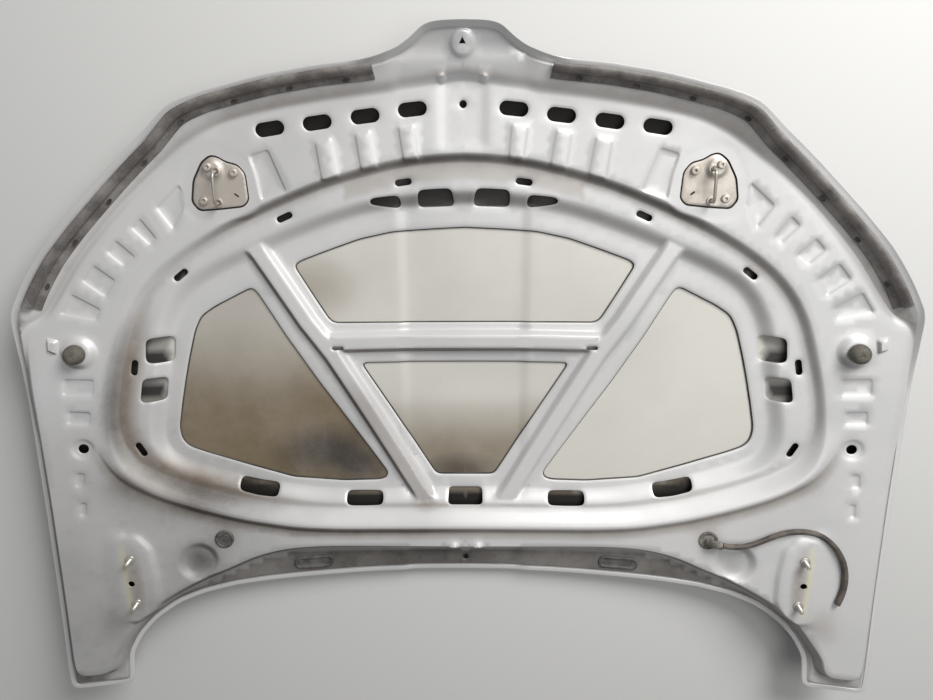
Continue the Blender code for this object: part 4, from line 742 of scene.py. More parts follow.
# Inner frame: one deep-drawn steel pressing, 0.7 mm thick. Its flange is caught in the folded edge
# of the skin, and a raised box rib runs round the edge, round the middle field and across it.
FRAME_EDGE = 0.0020
FLANGE_MIDDLE = 0.0050
FLANGE_START = 0.0095
SHELF_WALL = 0.0045
SHELF_LEVEL = 0.009
SHELF_LEVEL_SIDE = 0.017
SHELF_TURN_X = 0.36
SHELF_TURN = 0.12
GUTTER_LEVEL = 0.006
GUTTER_Y = -0.2
GUTTER_BLEND = 0.2
NOSE_DIP = 0.0065
NOSE_DIP_Y = 0.515
NOSE_DIP_LENGTH = 0.030
WINDOW_LEVEL = 0.0044
BAND_LEVEL = 0.030
BAND_WALL = 0.014
RING_LEVEL = 0.020
RING_WALL = 0.017
INNER_WALL = 0.030
RIDGE_RISE = 0.008
RIDGE_CREST = 0.034
RIDGE_FOOT = 0.048
RIDGE_START_Y = -0.060
RIDGE_LINE_Y = -0.080
RIDGE_BLEND = 0.120
STRUT_LEVEL = 0.018
STRUT_CREST = 0.010
STRUT_WALL = 0.011
STRUT_REACH = 0.028
SIDE_FLANGE = 0.012
SIDE_FRONT_Y = 0.13
SIDE_REAR_Y = -0.50
SIDE_START_X = 0.70
LEG_FLANGE = 0.013
SEAT_SPAN = 0.030
LEG_OUTER = 40
LEG_INNER = 47
PAD_RISE = 0.0025
PAD_WALL = 0.005
DISH_RADIUS = 0.040
DISH_WALL = 0.018
DISH_DEPTH = 0.008
DIMPLE_RADIUS = 0.022
DIMPLE_WALL = 0.010
DIMPLE_DEPTH = 0.003
NOSE_BOSS_RADIUS = 0.022
NOSE_BOSS_WALL = 0.008
NOSE_BOSS_RISE = 0.006
NOSE_BOSS_SETBACK = 0.002
SPINE_PAD_HALF = 0.044
SPINE_PAD_WALL = 0.018
HINGE_RISE = 0.006
HINGE_WALL = 0.012
HINGE_FADE = 0.032
STRIKER_SEAT = 0.012
STRIKER_SEAT_WALL = 0.010
BUFFER_SEAT_RADIUS = 0.018
BUFFER_SEAT_WALL = 0.014
BUFFER_RISE = 0.008
SLOT_SIZE = (0.046, 0.022)
RING_SLOT_SIZE = (0.028, 0.011)
STRUT_SLOT_SIZE = (0.020, 0.007)
CENTRE_HOLE_RADIUS = 0.006
SIDE_HOLE_RADIUS = 0.0085
REAR_HOLE_RADIUS = 0.005
GROMMET_HOLE_RADIUS = 0.0130
LOCATING_HOLE_RADIUS = 0.006
COLLAR_CLEARANCE = 0.0091
BUFFER_HOLE_RADIUS = 0.0058
JET_SIZE = (0.074, 0.024)
JET_NECK_INSET = 0.004
JET_TURN = -3
RIM_DROP = 0.0012
RIM_REACH = 0.0045
FRAME_GRID = 0.010
CORNER_ROUND = 0.030
PAD_ROUND = 0.006
REAR_CUT_OUT_ROUND = 0.008
PAD_STEP = 0.004

BAND_FRONT = np.array([
    (0.000, 0.508), (0.038, 0.503), (0.060, 0.499), (0.111, 0.490), (0.175, 0.481), (0.236, 0.471),
    (0.313, 0.456), (0.372, 0.441), (0.413, 0.424), (0.448, 0.402), (0.482, 0.373), (0.520, 0.341),
    (0.561, 0.303), (0.598, 0.264), (0.634, 0.222), (0.668, 0.172), (0.698, 0.128)])
BAND_REAR = np.array([
    (0.590, -0.444), (0.572, -0.430), (0.550, -0.414), (0.520, -0.396), (0.470, -0.372),
    (0.430, -0.358), (0.385, -0.338), (0.330, -0.325), (0.268, -0.322), (0.200, -0.323),
    (0.110, -0.325), (0.000, -0.326)])

# Cut-outs in the slope between the ring and the field, and the struts across the field.
CUT_OUTS = [
    [(0.154, 0.316), (0.130, 0.319), (0.106, 0.321), (0.104, 0.299), (0.128, 0.301),
     (0.157, 0.306)],
    [(0.076, 0.329), (0.048, 0.331), (0.020, 0.332), (0.015, 0.302), (0.046, 0.301),
     (0.077, 0.300)],
    [(0.545, 0.082), (0.522, 0.086), (0.500, 0.085), (0.505, 0.041), (0.526, 0.039),
     (0.549, 0.040)],
    [(0.558, 0.012), (0.537, 0.014), (0.518, 0.013), (0.525, -0.029), (0.545, -0.030),
     (0.566, -0.031)],
    [(0.407, -0.177), (0.372, -0.186), (0.338, -0.193), (0.342, -0.217), (0.376, -0.212),
     (0.410, -0.201)],
    [(0.218, -0.211), (0.184, -0.211), (0.151, -0.212), (0.151, -0.236), (0.184, -0.237),
     (0.218, -0.236)]]
REAR_CUT_OUT = np.array([(0.000, -0.207), (0.031, -0.207), (0.032, -0.236), (0.000, -0.236)])
SLANT_STRUT = np.array([(0.338, 0.214), (0.274, 0.106), (0.232, 0.046), (0.165, -0.068),
                        (0.085, -0.206)])
CROSS_STRUT = np.array([(0.000, 0.070), (0.120, 0.070), (0.232, 0.068)])

# Raised pads on the front band, sunk pads along the slanting and side bands, and small bumps.
RAISED_PADS = [
    [(0.070, 0.374), (0.098, 0.371), (0.106, 0.430), (0.075, 0.433)],
    [(0.137, 0.362), (0.167, 0.357), (0.175, 0.419), (0.146, 0.425)],
    [(0.199, 0.349), (0.231, 0.341), (0.239, 0.407), (0.209, 0.414)]]
SUNK_PADS = [
    [(0.285, 0.326), (0.331, 0.312), (0.345, 0.386), (0.311, 0.396)],
    [(0.457, 0.342), (0.443, 0.317), (0.474, 0.264), (0.500, 0.304)],
    [(0.524, 0.290), (0.499, 0.253), (0.513, 0.239), (0.543, 0.272)],
    [(0.566, 0.255), (0.536, 0.224), (0.559, 0.206), (0.586, 0.233)],
    [(0.606, 0.215), (0.572, 0.186), (0.593, 0.155), (0.630, 0.186)],
    [(0.647, 0.168), (0.602, 0.139), (0.611, 0.117), (0.671, 0.131)],
    [(0.681, 0.022), (0.629, 0.019), (0.633, -0.014), (0.685, -0.010)],
    [(0.681, -0.035), (0.641, -0.039), (0.644, -0.065), (0.684, -0.062)],
    [(0.681, -0.148), (0.662, -0.149), (0.665, -0.178), (0.684, -0.177)],
    [(0.680, -0.203), (0.665, -0.204), (0.667, -0.233), (0.682, -0.232)]]
SMALL_BUMPS = [(0.033, 0.498, 0.009, 0.0035), (0.022, -0.3135, 0.012, 0.004)]
LUG_PAD = [(0.676, 0.088), (0.694, 0.094), (0.697, 0.070), (0.680, 0.062)]
LUG_RISE = 0.006

# Holes and fittings of the right half: across, along, and turn in degrees.
FRONT_SLOTS = [(0.080, 0.4536, -6), (0.155, 0.4436, -7), (0.231, 0.4341, -8), (0.306, 0.425, -9)]
RING_SLOTS = [(0.099, 0.3415, -8), (0.297, 0.286, -24), (0.475, 0.192, -38), (0.568, 0.033, -79),
              (0.572, -0.116, 62)]
CENTRE_HOLE, NOSE_HOLE, REAR_HOLE = np.array([(0.0, 0.461), (0.0, 0.547), (0.0, -0.345)])
STRUT_SLOT, SIDE_HOLE, BUFFER, DISH = np.array([(0.222, 0.059), (0.663, -0.107), (0.648, 0.066),
                                                (0.487, -0.331)])
GROMMET, JET, LOCATING_HOLE = np.array([(0.438, -0.288), (0.284, -0.350), (0.603, -0.362)])
STUDS = np.array([(0.602, -0.316), (0.596, -0.400)])
STRIP_SPAN = (0.006, 0.020)
STRIP_ENDS = (-0.280, -0.430)
STRIP_FADE = 0.008
STRIP_END_FADE = 0.025
HINGE_PAD = [(0.622, -0.280), (0.592, -0.277), (0.573, -0.300), (0.565, -0.350),
             (0.564, -0.395), (0.576, -0.419), (0.597, -0.434), (0.617, -0.428)]
STRIKER_OPENING = np.array([
    (0.404, 0.386), (0.392, 0.384), (0.380, 0.376), (0.361, 0.371), (0.350, 0.356), (0.348, 0.314),
    (0.358, 0.303), (0.397, 0.299), (0.430, 0.297), (0.441, 0.312), (0.435, 0.346), (0.419, 0.375)])


def oval(centre, length, width, degrees, arc=10):
    points = []
    reach = (length - width) / 2
    for end in (0, 1):
        for step in range(arc + 1 if reach > 0 else arc):
            angle = math.pi * (step / arc - 0.5) + math.pi * end
            side = reach if end == 0 else -reach
            points.append((side + width / 2 * math.cos(angle), width / 2 * math.sin(angle)))
    turn = math.radians(degrees)
    points = np.array(points) @ np.array([(math.cos(turn), math.sin(turn)),
                                          (-math.sin(turn), math.cos(turn))])
    return closed(points + np.array(centre))


def circle(centre, radius, sides=24):
    return oval(centre, 2 * radius, 2 * radius, 0, sides // 2)


def half_circle(centre, radius, sides=24):
    # Its ends are put exactly on the middle line. A hair beside it, the hole isn't cut.
    arc = np.linspace(math.pi / 2, -math.pi / 2, sides // 2 + 1)
    across = radius * np.cos(arc)
    across[[0, -1]] = 0.0
    return np.column_stack([across, centre[1] + radius * np.sin(arc)])


def local_depth(line, x, y, reach):
    # Depth in a small line, worked out only for the points near it.
    found = np.full(np.shape(x), -1.0)
    low = line.min(axis=0) - reach
    high = line.max(axis=0) + reach
    near = (x > low[0]) & (x < high[0]) & (y > low[1]) & (y < high[1])
    found[near] = depth_in(line, x[near], y[near])
    return found


def seat_plane(centre, rise):
    # A flat seat that lies along the crown at its centre. Returns its height function and normal.
    cx, cy = centre
    height = float(crown(cx, cy)) + SKIN_SHEET + BAND_LEVEL + rise
    slope_x = float(crown(cx + SEAT_SPAN, cy) - crown(cx - SEAT_SPAN, cy)) / (2 * SEAT_SPAN)
    slope_y = float(crown(cx, cy + SEAT_SPAN) - crown(cx, cy - SEAT_SPAN)) / (2 * SEAT_SPAN)

    def plane(x, y):
        return height + slope_x * (np.abs(x) - cx) + slope_y * (y - cy)

    return plane, Vector((-slope_x, -slope_y, 1.0)).normalized()


def band_foot():
    side = [point for point in EDGE_CORNERS if SIDE_REAR_Y < point[1] < SIDE_FRONT_Y
            and point[0] > SIDE_START_X]
    side = np.array(side) - (SIDE_FLANGE, 0)
    rear_y = EDGE_CORNERS[:, 1].min()
    leg_in, leg_out = EDGE_CORNERS[LEG_INNER], EDGE_CORNERS[LEG_OUTER]
    toe = np.array([
        (leg_out[0] - SIDE_FLANGE, leg_out[1]),
        (leg_out[0] - 2 * SIDE_FLANGE, rear_y + 2 * LEG_FLANGE),
        (leg_in[0] + 2 * LEG_FLANGE, rear_y + 2 * LEG_FLANGE),
        (leg_in[0] + LEG_FLANGE, rear_y + 4 * LEG_FLANGE),
        (leg_in[0] + LEG_FLANGE, EDGE_CORNERS[LEG_INNER + 1][1] + LEG_FLANGE / 2)])
    return np.vstack([BAND_FRONT, side, toe, BAND_REAR])


BAND = band_foot()
ring_rear = ramp((RIDGE_START_Y - RING[:, 1]) / RIDGE_BLEND)
ring_width = mix(RING_WALL, RIDGE_CREST, ring_rear)
walls = [inset(EDGE, width) for width in (FLANGE_MIDDLE, FLANGE_START)]
walls += [inset(EDGE, FLANGE_START + SHELF_WALL * share) for share in (0.5, 1.0)]
for line, depths in ((BAND, BAND_WALL * np.linspace(0, 1, 6)),
                     (FIELD, -INNER_WALL * np.linspace(0, 1, 7))):
    walls += [rounded(inset(line, depth), CORNER_ROUND, LINE_STEP) for depth in depths]
for share in np.linspace(0, 1, 7):
    walls.append(rounded(inset(RING, -ring_width * share), CORNER_ROUND, LINE_STEP))
rear_count = np.sum(RING[:, 1] < RIDGE_LINE_Y)
for reach in np.linspace(RIDGE_CREST, RIDGE_FOOT, 5)[1:]:
    walls.append(rounded(inset(RING, -reach)[-rear_count:], CORNER_ROUND, LINE_STEP))
BAND = rounded(BAND, CORNER_ROUND, LINE_STEP)
RING = rounded(RING, CORNER_ROUND, LINE_STEP)
FIELD = rounded(FIELD, CORNER_ROUND, LINE_STEP)
HINGE_SEAT = rounded(closed(HINGE_PAD), PAD_ROUND, PAD_STEP)
HINGE_PLANE, HINGE_NORMAL = seat_plane(STUDS.mean(axis=0), HINGE_RISE)
STRIKER_HOLE = rounded(closed(STRIKER_OPENING), PAD_ROUND, PAD_STEP)
STRIKER_SEAT_LINE = rounded(inset(closed(STRIKER_OPENING), -STRIKER_SEAT), CORNER_ROUND, PAD_STEP)
STRIKER_PLANE, STRIKER_NORMAL = seat_plane(STRIKER_OPENING.mean(axis=0), 0)
BUFFER_SEAT = circle(BUFFER, BUFFER_SEAT_RADIUS)
BUFFER_PLANE, BUFFER_NORMAL = seat_plane(BUFFER, BUFFER_RISE)
pressed_pads = [(rounded(closed(pad), PAD_ROUND, PAD_STEP), PAD_RISE) for pad in RAISED_PADS]
pressed_pads += [(rounded(closed(pad), PAD_ROUND, PAD_STEP), -PAD_RISE) for pad in SUNK_PADS]
pressed_pads.append((rounded(closed(LUG_PAD), PAD_ROUND / 2, PAD_STEP), LUG_RISE))
SIDE_WINDOW = rounded(closed(SIDE_WINDOW), WINDOW_ROUND, PAD_STEP)
UPPER_WINDOW = rounded(UPPER_WINDOW, WINDOW_ROUND, PAD_STEP)
LOWER_WINDOW = rounded(LOWER_WINDOW, WINDOW_ROUND, PAD_STEP)
rimmed_holes = [SIDE_WINDOW, UPPER_WINDOW, LOWER_WINDOW,
                rounded(REAR_CUT_OUT, REAR_CUT_OUT_ROUND, PAD_STEP)]
rimmed_holes += [rounded(closed(line), WINDOW_ROUND, PAD_STEP) for line in CUT_OUTS]
rimmed_holes += [half_circle(CENTRE_HOLE, CENTRE_HOLE_RADIUS), half_circle(REAR_HOLE, REAR_HOLE_RADIUS)]
rimmed_holes += [oval((x, y), *SLOT_SIZE, turn) for x, y, turn in FRONT_SLOTS]
rimmed_holes += [oval((x, y), *RING_SLOT_SIZE, turn, 6) for x, y, turn in RING_SLOTS]
rimmed_holes += [oval(STRUT_SLOT, *STRUT_SLOT_SIZE, 0, 6), circle(SIDE_HOLE, SIDE_HOLE_RADIUS)]
NOSE_NOTCH = NOSE_HOLE + np.array([(0.0, 0.0060), (0.0052, -0.0030), (0.0, -0.0030)])
plain_holes = [NOSE_NOTCH, circle(GROMMET, GROMMET_HOLE_RADIUS),
               circle(LOCATING_HOLE, LOCATING_HOLE_RADIUS, 16), STRIKER_HOLE,
               circle(BUFFER, BUFFER_HOLE_RADIUS, 16),
               oval(JET, JET_SIZE[0] - 2 * JET_NECK_INSET, JET_SIZE[1] - 2 * JET_NECK_INSET, JET_TURN)]
plain_holes += [circle(stud, COLLAR_CLEARANCE) for stud in STUDS]

# The slanting struts run on into the ring at both ends.
front_step = SLANT_STRUT[0] - SLANT_STRUT[1]
rear_step = SLANT_STRUT[-1] - SLANT_STRUT[-2]
SLANT_STRUT = np.vstack([SLANT_STRUT[0] + STRUT_REACH * front_step / np.linalg.norm(front_step),
                         SLANT_STRUT,
                         SLANT_STRUT[-1] + STRUT_REACH * rear_step / np.linalg.norm(rear_step)])


def beside_studs(a, y):
    # Distance outwards from the line through the two hinge studs.
    slant = (STUDS[0][0] - STUDS[1][0]) / (STUDS[0][1] - STUDS[1][1])
    return a - STUDS[0][0] - (y - STUDS[0][1]) * slant


def frame_under(x, y):
    # Height of the inner frame's underside, from the hem inwards.
    a = np.abs(x)
    inner = outer_skin(x, y) + SKIN_SHEET
    plain = crown(x, y) + SKIN_SHEET
    edge = depth_in(EDGE, a, y)
    shelf = mix(SHELF_LEVEL, SHELF_LEVEL_SIDE, ramp((a - SHELF_TURN_X) / SHELF_TURN))
    shelf = shelf - NOSE_DIP * ramp((y - NOSE_DIP_Y) / NOSE_DIP_LENGTH)
    shelf = mix(GUTTER_LEVEL, shelf, ramp((y - GUTTER_Y) / GUTTER_BLEND))
    z = mix(inner + HEM_GAP, inner + shelf, ramp((edge - FLANGE_START) / SHELF_WALL))
    in_band = ramp(depth_in(BAND, a, y) / BAND_WALL)
    z = mix(z, plain + BAND_LEVEL, in_band)
    ring = depth_in(RING, a, y)
    rear = ramp((RIDGE_START_Y - y) / RIDGE_BLEND)
    wall = mix(RING_WALL, RIDGE_CREST, rear)
    z = z + RIDGE_RISE * rear * ramp((ring + RIDGE_FOOT) / (RIDGE_FOOT - RIDGE_CREST))
    z = mix(z, plain + RING_LEVEL, ramp((ring + wall) / wall))
    z = mix(z, inner + WINDOW_LEVEL, ramp((depth_in(FIELD, a, y) + INNER_WALL) / INNER_WALL))
    for strut in (SLANT_STRUT, CROSS_STRUT):
        rise = ramp((STRUT_CREST + STRUT_WALL - distance_to(strut, a, y)) / STRUT_WALL)
        z = np.maximum(z, mix(z, plain + STRUT_LEVEL, rise))
    for pad, rise in pressed_pads:
        z = z + rise * ramp(local_depth(pad, a, y, PAD_WALL) / PAD_WALL)
    spine_pad = ramp((SPINE_PAD_HALF - a) / SPINE_PAD_WALL) * in_band
    z = z - PAD_RISE * spine_pad * ramp((-ring - RING_WALL) / RING_WALL) * (y > 0)
    z = z - DISH_DEPTH * ramp((DISH_RADIUS - np.hypot(a - DISH[0], y - DISH[1])) / DISH_WALL)
    dimple = np.hypot(a - SIDE_HOLE[0], y - SIDE_HOLE[1])
    z = z - DIMPLE_DEPTH * ramp((DIMPLE_RADIUS - dimple) / DIMPLE_WALL)
    boss = np.hypot(a, y - NOSE_HOLE[1] + NOSE_BOSS_SETBACK)
    z = z + NOSE_BOSS_RISE * ramp((NOSE_BOSS_RADIUS - boss) / NOSE_BOSS_WALL)
    for across, along, radius, rise in SMALL_BUMPS:
        z = z + rise * ramp(1.4 * (1 - np.hypot(a - across, y - along) / radius))
    seats = ((HINGE_SEAT, HINGE_WALL, HINGE_PLANE), (BUFFER_SEAT, BUFFER_SEAT_WALL, BUFFER_PLANE),
             (STRIKER_SEAT_LINE, STRIKER_SEAT_WALL, STRIKER_PLANE))
    for line, wide, plane in seats:
        if plane is HINGE_PLANE:
            wide = mix(HINGE_WALL, HINGE_FADE, ramp((a - STUDS[0][0]) / HINGE_FADE))
        z = mix(z, plane(x, y), ramp((local_depth(line, a, y, HINGE_FADE) + wide) / wide))
    return z


def rim_drop(x, y):
    # The rim of each hole is turned down a little.
    drop = np.zeros(np.shape(x))
    for hole in rimmed_holes:
        away = -local_depth(hole, np.abs(x), y, 2 * RIM_REACH)
        near = (away > -0.001) & (away < RIM_REACH)
        turned = RIM_DROP * (1 - np.clip(away, 0, 1) / RIM_REACH) ** 2
        drop = np.where(near, np.maximum(drop, turned), drop)
    return drop


def frame_top(x, y):
    return frame_under(np.atleast_1d(x), np.atleast_1d(y)) + FRAME_SHEET


for line, wide in ((STRIKER_SEAT_LINE, STRIKER_SEAT_WALL), (HINGE_SEAT, HINGE_WALL)):
    walls += [inset(line, -wide * share) for share in (0.0, 0.33, 0.66, 1.0)]
for pad, _ in pressed_pads:
    walls += [inset(pad, PAD_WALL * share) for share in (0.0, 0.5, 1.0)]
for centre, radius, wide in ((DISH, DISH_RADIUS, DISH_WALL), (SIDE_HOLE, DIMPLE_RADIUS, DIMPLE_WALL),
                             (BUFFER, BUFFER_SEAT_RADIUS + BUFFER_SEAT_WALL, BUFFER_SEAT_WALL)):
    walls += [circle(centre, radius - wide * share, 32) for share in (0.0, 0.25, 0.5, 0.75, 1.0)]
walls += [half_circle(NOSE_HOLE - (0, NOSE_BOSS_SETBACK), NOSE_BOSS_RADIUS - NOSE_BOSS_WALL * share)
          for share in (0.0, 0.35, 0.7, 1.0)]
walls += [circle((across, along), radius * share, 16) for across, along, radius, _ in SMALL_BUMPS
          for share in (0.35, 0.7, 1.0)]
for strut in (SLANT_STRUT, CROSS_STRUT):
    for share in (-0.9, -0.4, 0.0, 0.17, 0.33, 0.5, 0.67, 0.83, 1.0):
        step = np.diff(strut, axis=0)[0]
        step /= np.linalg.norm(step)
        shift = np.array((-step[1], step[0])) * (STRUT_CREST + STRUT_WALL * share)
        walls += [rounded(strut + shift, 0.02, LINE_STEP), rounded(strut - shift, 0.02, LINE_STEP)]
walls += [lengthwise(x, 0.30, -0.205, 60) for x in np.linspace(SPINE_HALF, SPINE_HALF + SPINE_WALL, 5)]
walls += [lengthwise(x, 0.50, 0.395, 14)
          for x in np.linspace(SPINE_PAD_HALF - SPINE_PAD_WALL, SPINE_PAD_HALF, 4)]
for hole in rimmed_holes:
    walls += [inset(hole, -RIM_REACH * share) for share in (0.4, 1.0)]
for offset in (STRIP_SPAN[0] - 0.001, STRIP_SPAN[0], sum(STRIP_SPAN) / 2, STRIP_SPAN[1]):
    walls.append(np.array([(offset - beside_studs(0, y), y) for y in np.linspace(*STRIP_ENDS, 12)]))


def pressed_sheet(outline, under, over, holes, lines, grid):
    # Points and faces of a closed sheet between two heights over one plan shape.
    flat, triangles, _ = triangulate(outline, holes, lines, grid)
    count = len(flat)
    points = np.vstack([np.column_stack([flat, under(flat[:, 0], flat[:, 1])]),
                        np.column_stack([flat, over(flat[:, 0], flat[:, 1])])])
    faces = triangles[:, ::-1].tolist() + (triangles + count).tolist()
    for a, b in border_edges(triangles):
        if flat[a][0] != 0 or flat[b][0] != 0:
            faces.append((a, b, b + count, a + count))
    return points, faces


def frame_bottom_face(x, y):
    return frame_under(x, y) - rim_drop(x, y)


def frame_top_face(x, y):
    return frame_bottom_face(x, y) + FRAME_SHEET


def streak(depth, middle, width):
    # A soft line: 1 where the depth is that of its middle, and falling away over its width.
    return np.exp(-((depth - middle) / width) ** 2)


points, faces = pressed_sheet(inset(EDGE, FRAME_EDGE), frame_bottom_face, frame_top_face,
                              rimmed_holes + plain_holes, walls, FRAME_GRID)
pressing = add_piece("inner_frame_pressing", points, faces, paint, "body_paint", ["inner_frame"], 40)
mirror_over_middle(pressing)
x, y, z = places(pressing)
a = np.abs(x)
ring_depth = depth_in(RING, a, y)
band_depth = depth_in(BAND, a, y)

# Dirt and soot, with painted shade, darken the low places: the groove inside the ring, behind the rear
# ridge,
#  the gutter along the rear edge, and most of all the left rear quarter. The walls that rise towards
#  the nose and the right face away from the key lamp and get painted shade.
# Painted shade on the walls that face away from the key lamp, worked out from the slope of the frame.
SLOPE_STEP = 0.002
slope_x = (frame_top(x + SLOPE_STEP, y) - frame_top(x - SLOPE_STEP, y)) / (2 * SLOPE_STEP)
slope_y = (frame_top(x, y + SLOPE_STEP) - frame_top(x, y - SLOPE_STEP)) / (2 * SLOPE_STEP)
edge_depth = depth_in(EDGE, a, y)
painted_wall_shade = np.clip(0.60 * slope_x + 0.75 * slope_y - 0.08, 0, 1) * (edge_depth > 0.012)
painted_wall_shade *= ramp((0.50 - y) / 0.04)
left_rear = ramp((-x - 0.25) / 0.30) * ramp((0.18 - y) / 0.15)
rear = ramp((RIDGE_START_Y - y) / RIDGE_BLEND)
front = ramp((y - 0.24) / 0.06)
# Dirt and painted shade: at the feet of the walls, in the ring's groove, behind the rear ridge, round the
# hinge studs and the grommet, and on the walls turned away from the key lamp.
dirt_and_shade = 0.35 * streak(band_depth, -0.002, 0.006)
dirt_and_shade += 0.30 * streak(ring_depth, 0.002, 0.008)
dirt_and_shade += 0.75 * left_rear * streak(ring_depth, 0.010, 0.018)
dirt_and_shade += 0.50 * rear * streak(ring_depth, -0.048, 0.012)
dirt_and_shade += 0.40 * front * streak(ring_depth, 0.016, 0.012) * (a < 0.20)
dirt_and_shade += 0.60 * spot(beside_studs(a, y), y, (-0.004, -0.356), (0.012, 0.062))
dirt_and_shade += 0.30 * spot(a, y, (0.640, -0.440), (0.035, 0.045))
dirt_and_shade += 0.35 * spot(a, y, GROMMET, (0.03, 0.03))
dirt_and_shade += 0.30 * left_rear * spot(x, y, (-0.50, -0.20), (0.12, 0.05))
dirt_and_shade += 0.35 * ramp((0.05 - y) / 0.10) * streak(distance_to(SLANT_STRUT, -x, y), 0, 0.02)
dirt_and_shade += mix(0.75, 0.30, ramp((x + 0.3) / 0.6)) * painted_wall_shade
mark(pressing, "dirt_and_shade", np.clip(dirt_and_shade, 0, 0.9))
# Soot and painted shade: along the left rear of the ring, and on the walls turned away from the key lamp.
soot_and_shade = 0.55 * left_rear * streak(ring_depth, -0.012, 0.012)
soot_and_shade += mix(0.75, 0.40, ramp((x + 0.3) / 0.6)) * painted_wall_shade
# Painted shade: darker towards the left rear and towards the rear edge.
soot_and_shade += 0.24 * ramp((-x - 0.05) / 0.5) * ramp((0.10 - y) / 0.25)
soot_and_shade += 0.10 * ramp((-0.20 - y) / 0.25)
# Painted shade on the rear slope of the rear ridge and on the wall that drops from the front band into the
# ring.
soot_and_shade += 0.50 * rear * spot(x, ring_depth, (-0.20, -0.044), (0.24, 0.007))
soot_and_shade += 0.45 * front * streak(ring_depth, -0.008, 0.008)
# Painted shade in the gutter along the rear edge.
gutter = ramp(-band_depth / 0.005) * ramp((edge_depth - 0.010) / 0.003)
soot_and_shade += 0.85 * (y < -0.29) * (a < 0.60) * gutter
# Darker at the rear corner of the ring and in the dish, more on the left. The side grooves get painted
# shade, more on the left.
soot_and_shade += mix(0.20, 0.40, x < 0) * spot(a, y, (0.600, -0.180), (0.040, 0.028))
soot_and_shade += mix(0.25, 0.45, x < 0) * gutter * ramp((a - 0.66) / 0.02) * ramp((0.10 - y) / 0.05)
soot_and_shade += mix(0.25, 0.60, x < 0) * spot(a, y, DISH, (0.034, 0.030))
soot_and_shade += 0.30 * spot(x, y, (-0.50, -0.22), (0.09, 0.035))
mark(pressing, "soot_and_shade", np.clip(soot_and_shade, 0, 0.9))
# A pale strip runs beside the studs of each hinge.
aside = beside_studs(a, y)
strip = ramp((STRIP_SPAN[1] - aside) / STRIP_FADE) * (aside > STRIP_SPAN[0] - 0.0005)
strip = strip * ramp((STRIP_ENDS[0] - y) / STRIP_END_FADE) * ramp((y - STRIP_ENDS[1]) / STRIP_END_FADE)
mark(pressing, "primer", 0.9 * strip)

# Hinge plates and studs: behind each hinge pad a steel plate is spot-welded, and two zinc-plated
# M8 studs with round collars are pressed through it. The hinge is held on them by nuts.
STUD_RADIUS = 0.0040
STUD_ROOT_RADIUS = 0.0034
STUD_LENGTH = 0.024
THREAD_PITCH = 0.00125
THREAD_START = 0.0032
THREAD_END = 0.0022
COLLAR_RADIUS = 0.0085
COLLAR_HEIGHT = 0.0020
STUD_HEAD_RADIUS = 0.0075
STUD_HEAD = 0.0030
PLATE_DEPTH = 0.0026
TURNED_SHARP = 32
zinc = dusty_finish("zinc_plating", (0.62, 0.60, 0.56), 0.34, 0.75, 0.35, (0.42, 0.38, 0.32), 60.0)


SIDES = ((-1, "left"), (1, "right"))


def turned_piece(name, profile, centre, height, axis, finish, nodes, side, sides=32):
    # Spins a profile of (radius, height) round its axis, and stands it on its place.
    mesh = bpy.data.meshes.new(name)
    edges = [(i, i + 1) for i in range(len(profile) - 1)]
    mesh.from_pydata([(radius, 0, rise) for radius, rise in profile], edges, [])
    made = bpy.data.objects.new(name, mesh)
    scene.collection.objects.link(made)
    select_only(made)
    bpy.ops.object.mode_set(mode="EDIT")
    bpy.ops.mesh.select_all(action="SELECT")
    bpy.ops.mesh.spin(steps=sides, angle=2 * math.pi, center=(0, 0, 0), axis=(0, 0, 1))
    bpy.ops.mesh.select_all(action="SELECT")
    bpy.ops.mesh.remove_doubles(threshold=0.00001)
    bpy.ops.mesh.normals_make_consistent(inside=False)
    bpy.ops.object.mode_set(mode="OBJECT")
    made.select_set(False)
    axis = Vector((side * axis[0], axis[1], axis[2]))
    turn = axis.to_track_quat("Z", "Y").to_matrix().to_4x4()
    mesh.transform(Matrix.Translation((side * centre[0], centre[1], height)) @ turn)
    mesh.shade_smooth()
    mesh.set_sharp_from_angle(angle=math.radians(TURNED_SHARP))
    mesh.materials.append(finish)
    stand_for(made, nodes)


thread = []
rise = THREAD_START
while rise < STUD_LENGTH - THREAD_END:
    thread += [(STUD_ROOT_RADIUS, rise), (STUD_RADIUS, rise + 0.4 * THREAD_PITCH),
               (STUD_RADIUS, rise + 0.6 * THREAD_PITCH)]
    rise += THREAD_PITCH
stud_profile = [(0, -PLATE_DEPTH - STUD_HEAD), (STUD_HEAD_RADIUS, -PLATE_DEPTH - STUD_HEAD),
                (STUD_HEAD_RADIUS, -PLATE_DEPTH), (STUD_RADIUS, -PLATE_DEPTH), (STUD_RADIUS, 0),
                (COLLAR_RADIUS - 0.0004, 0), (COLLAR_RADIUS, 0.0004),
                (COLLAR_RADIUS, COLLAR_HEIGHT - 0.0006), (COLLAR_RADIUS - 0.0006, COLLAR_HEIGHT),
                (STUD_RADIUS + 0.0006, COLLAR_HEIGHT), (STUD_ROOT_RADIUS, COLLAR_HEIGHT + 0.0006)]
stud_profile += thread
stud_profile += [(STUD_ROOT_RADIUS, STUD_LENGTH - 0.0010), (STUD_ROOT_RADIUS - 0.0010, STUD_LENGTH),
                 (0, STUD_LENGTH)]
for side, word in SIDES:
    for stud, place in zip(STUDS, ("front", "rear")):
        node = "hinge_stud_" + word + "_" + place
        turned_piece(node + "_threaded", stud_profile, stud, float(HINGE_PLANE(*stud)), HINGE_NORMAL,
                     zinc, [node], side)
    refinish("hinge_plate_" + word, primer)

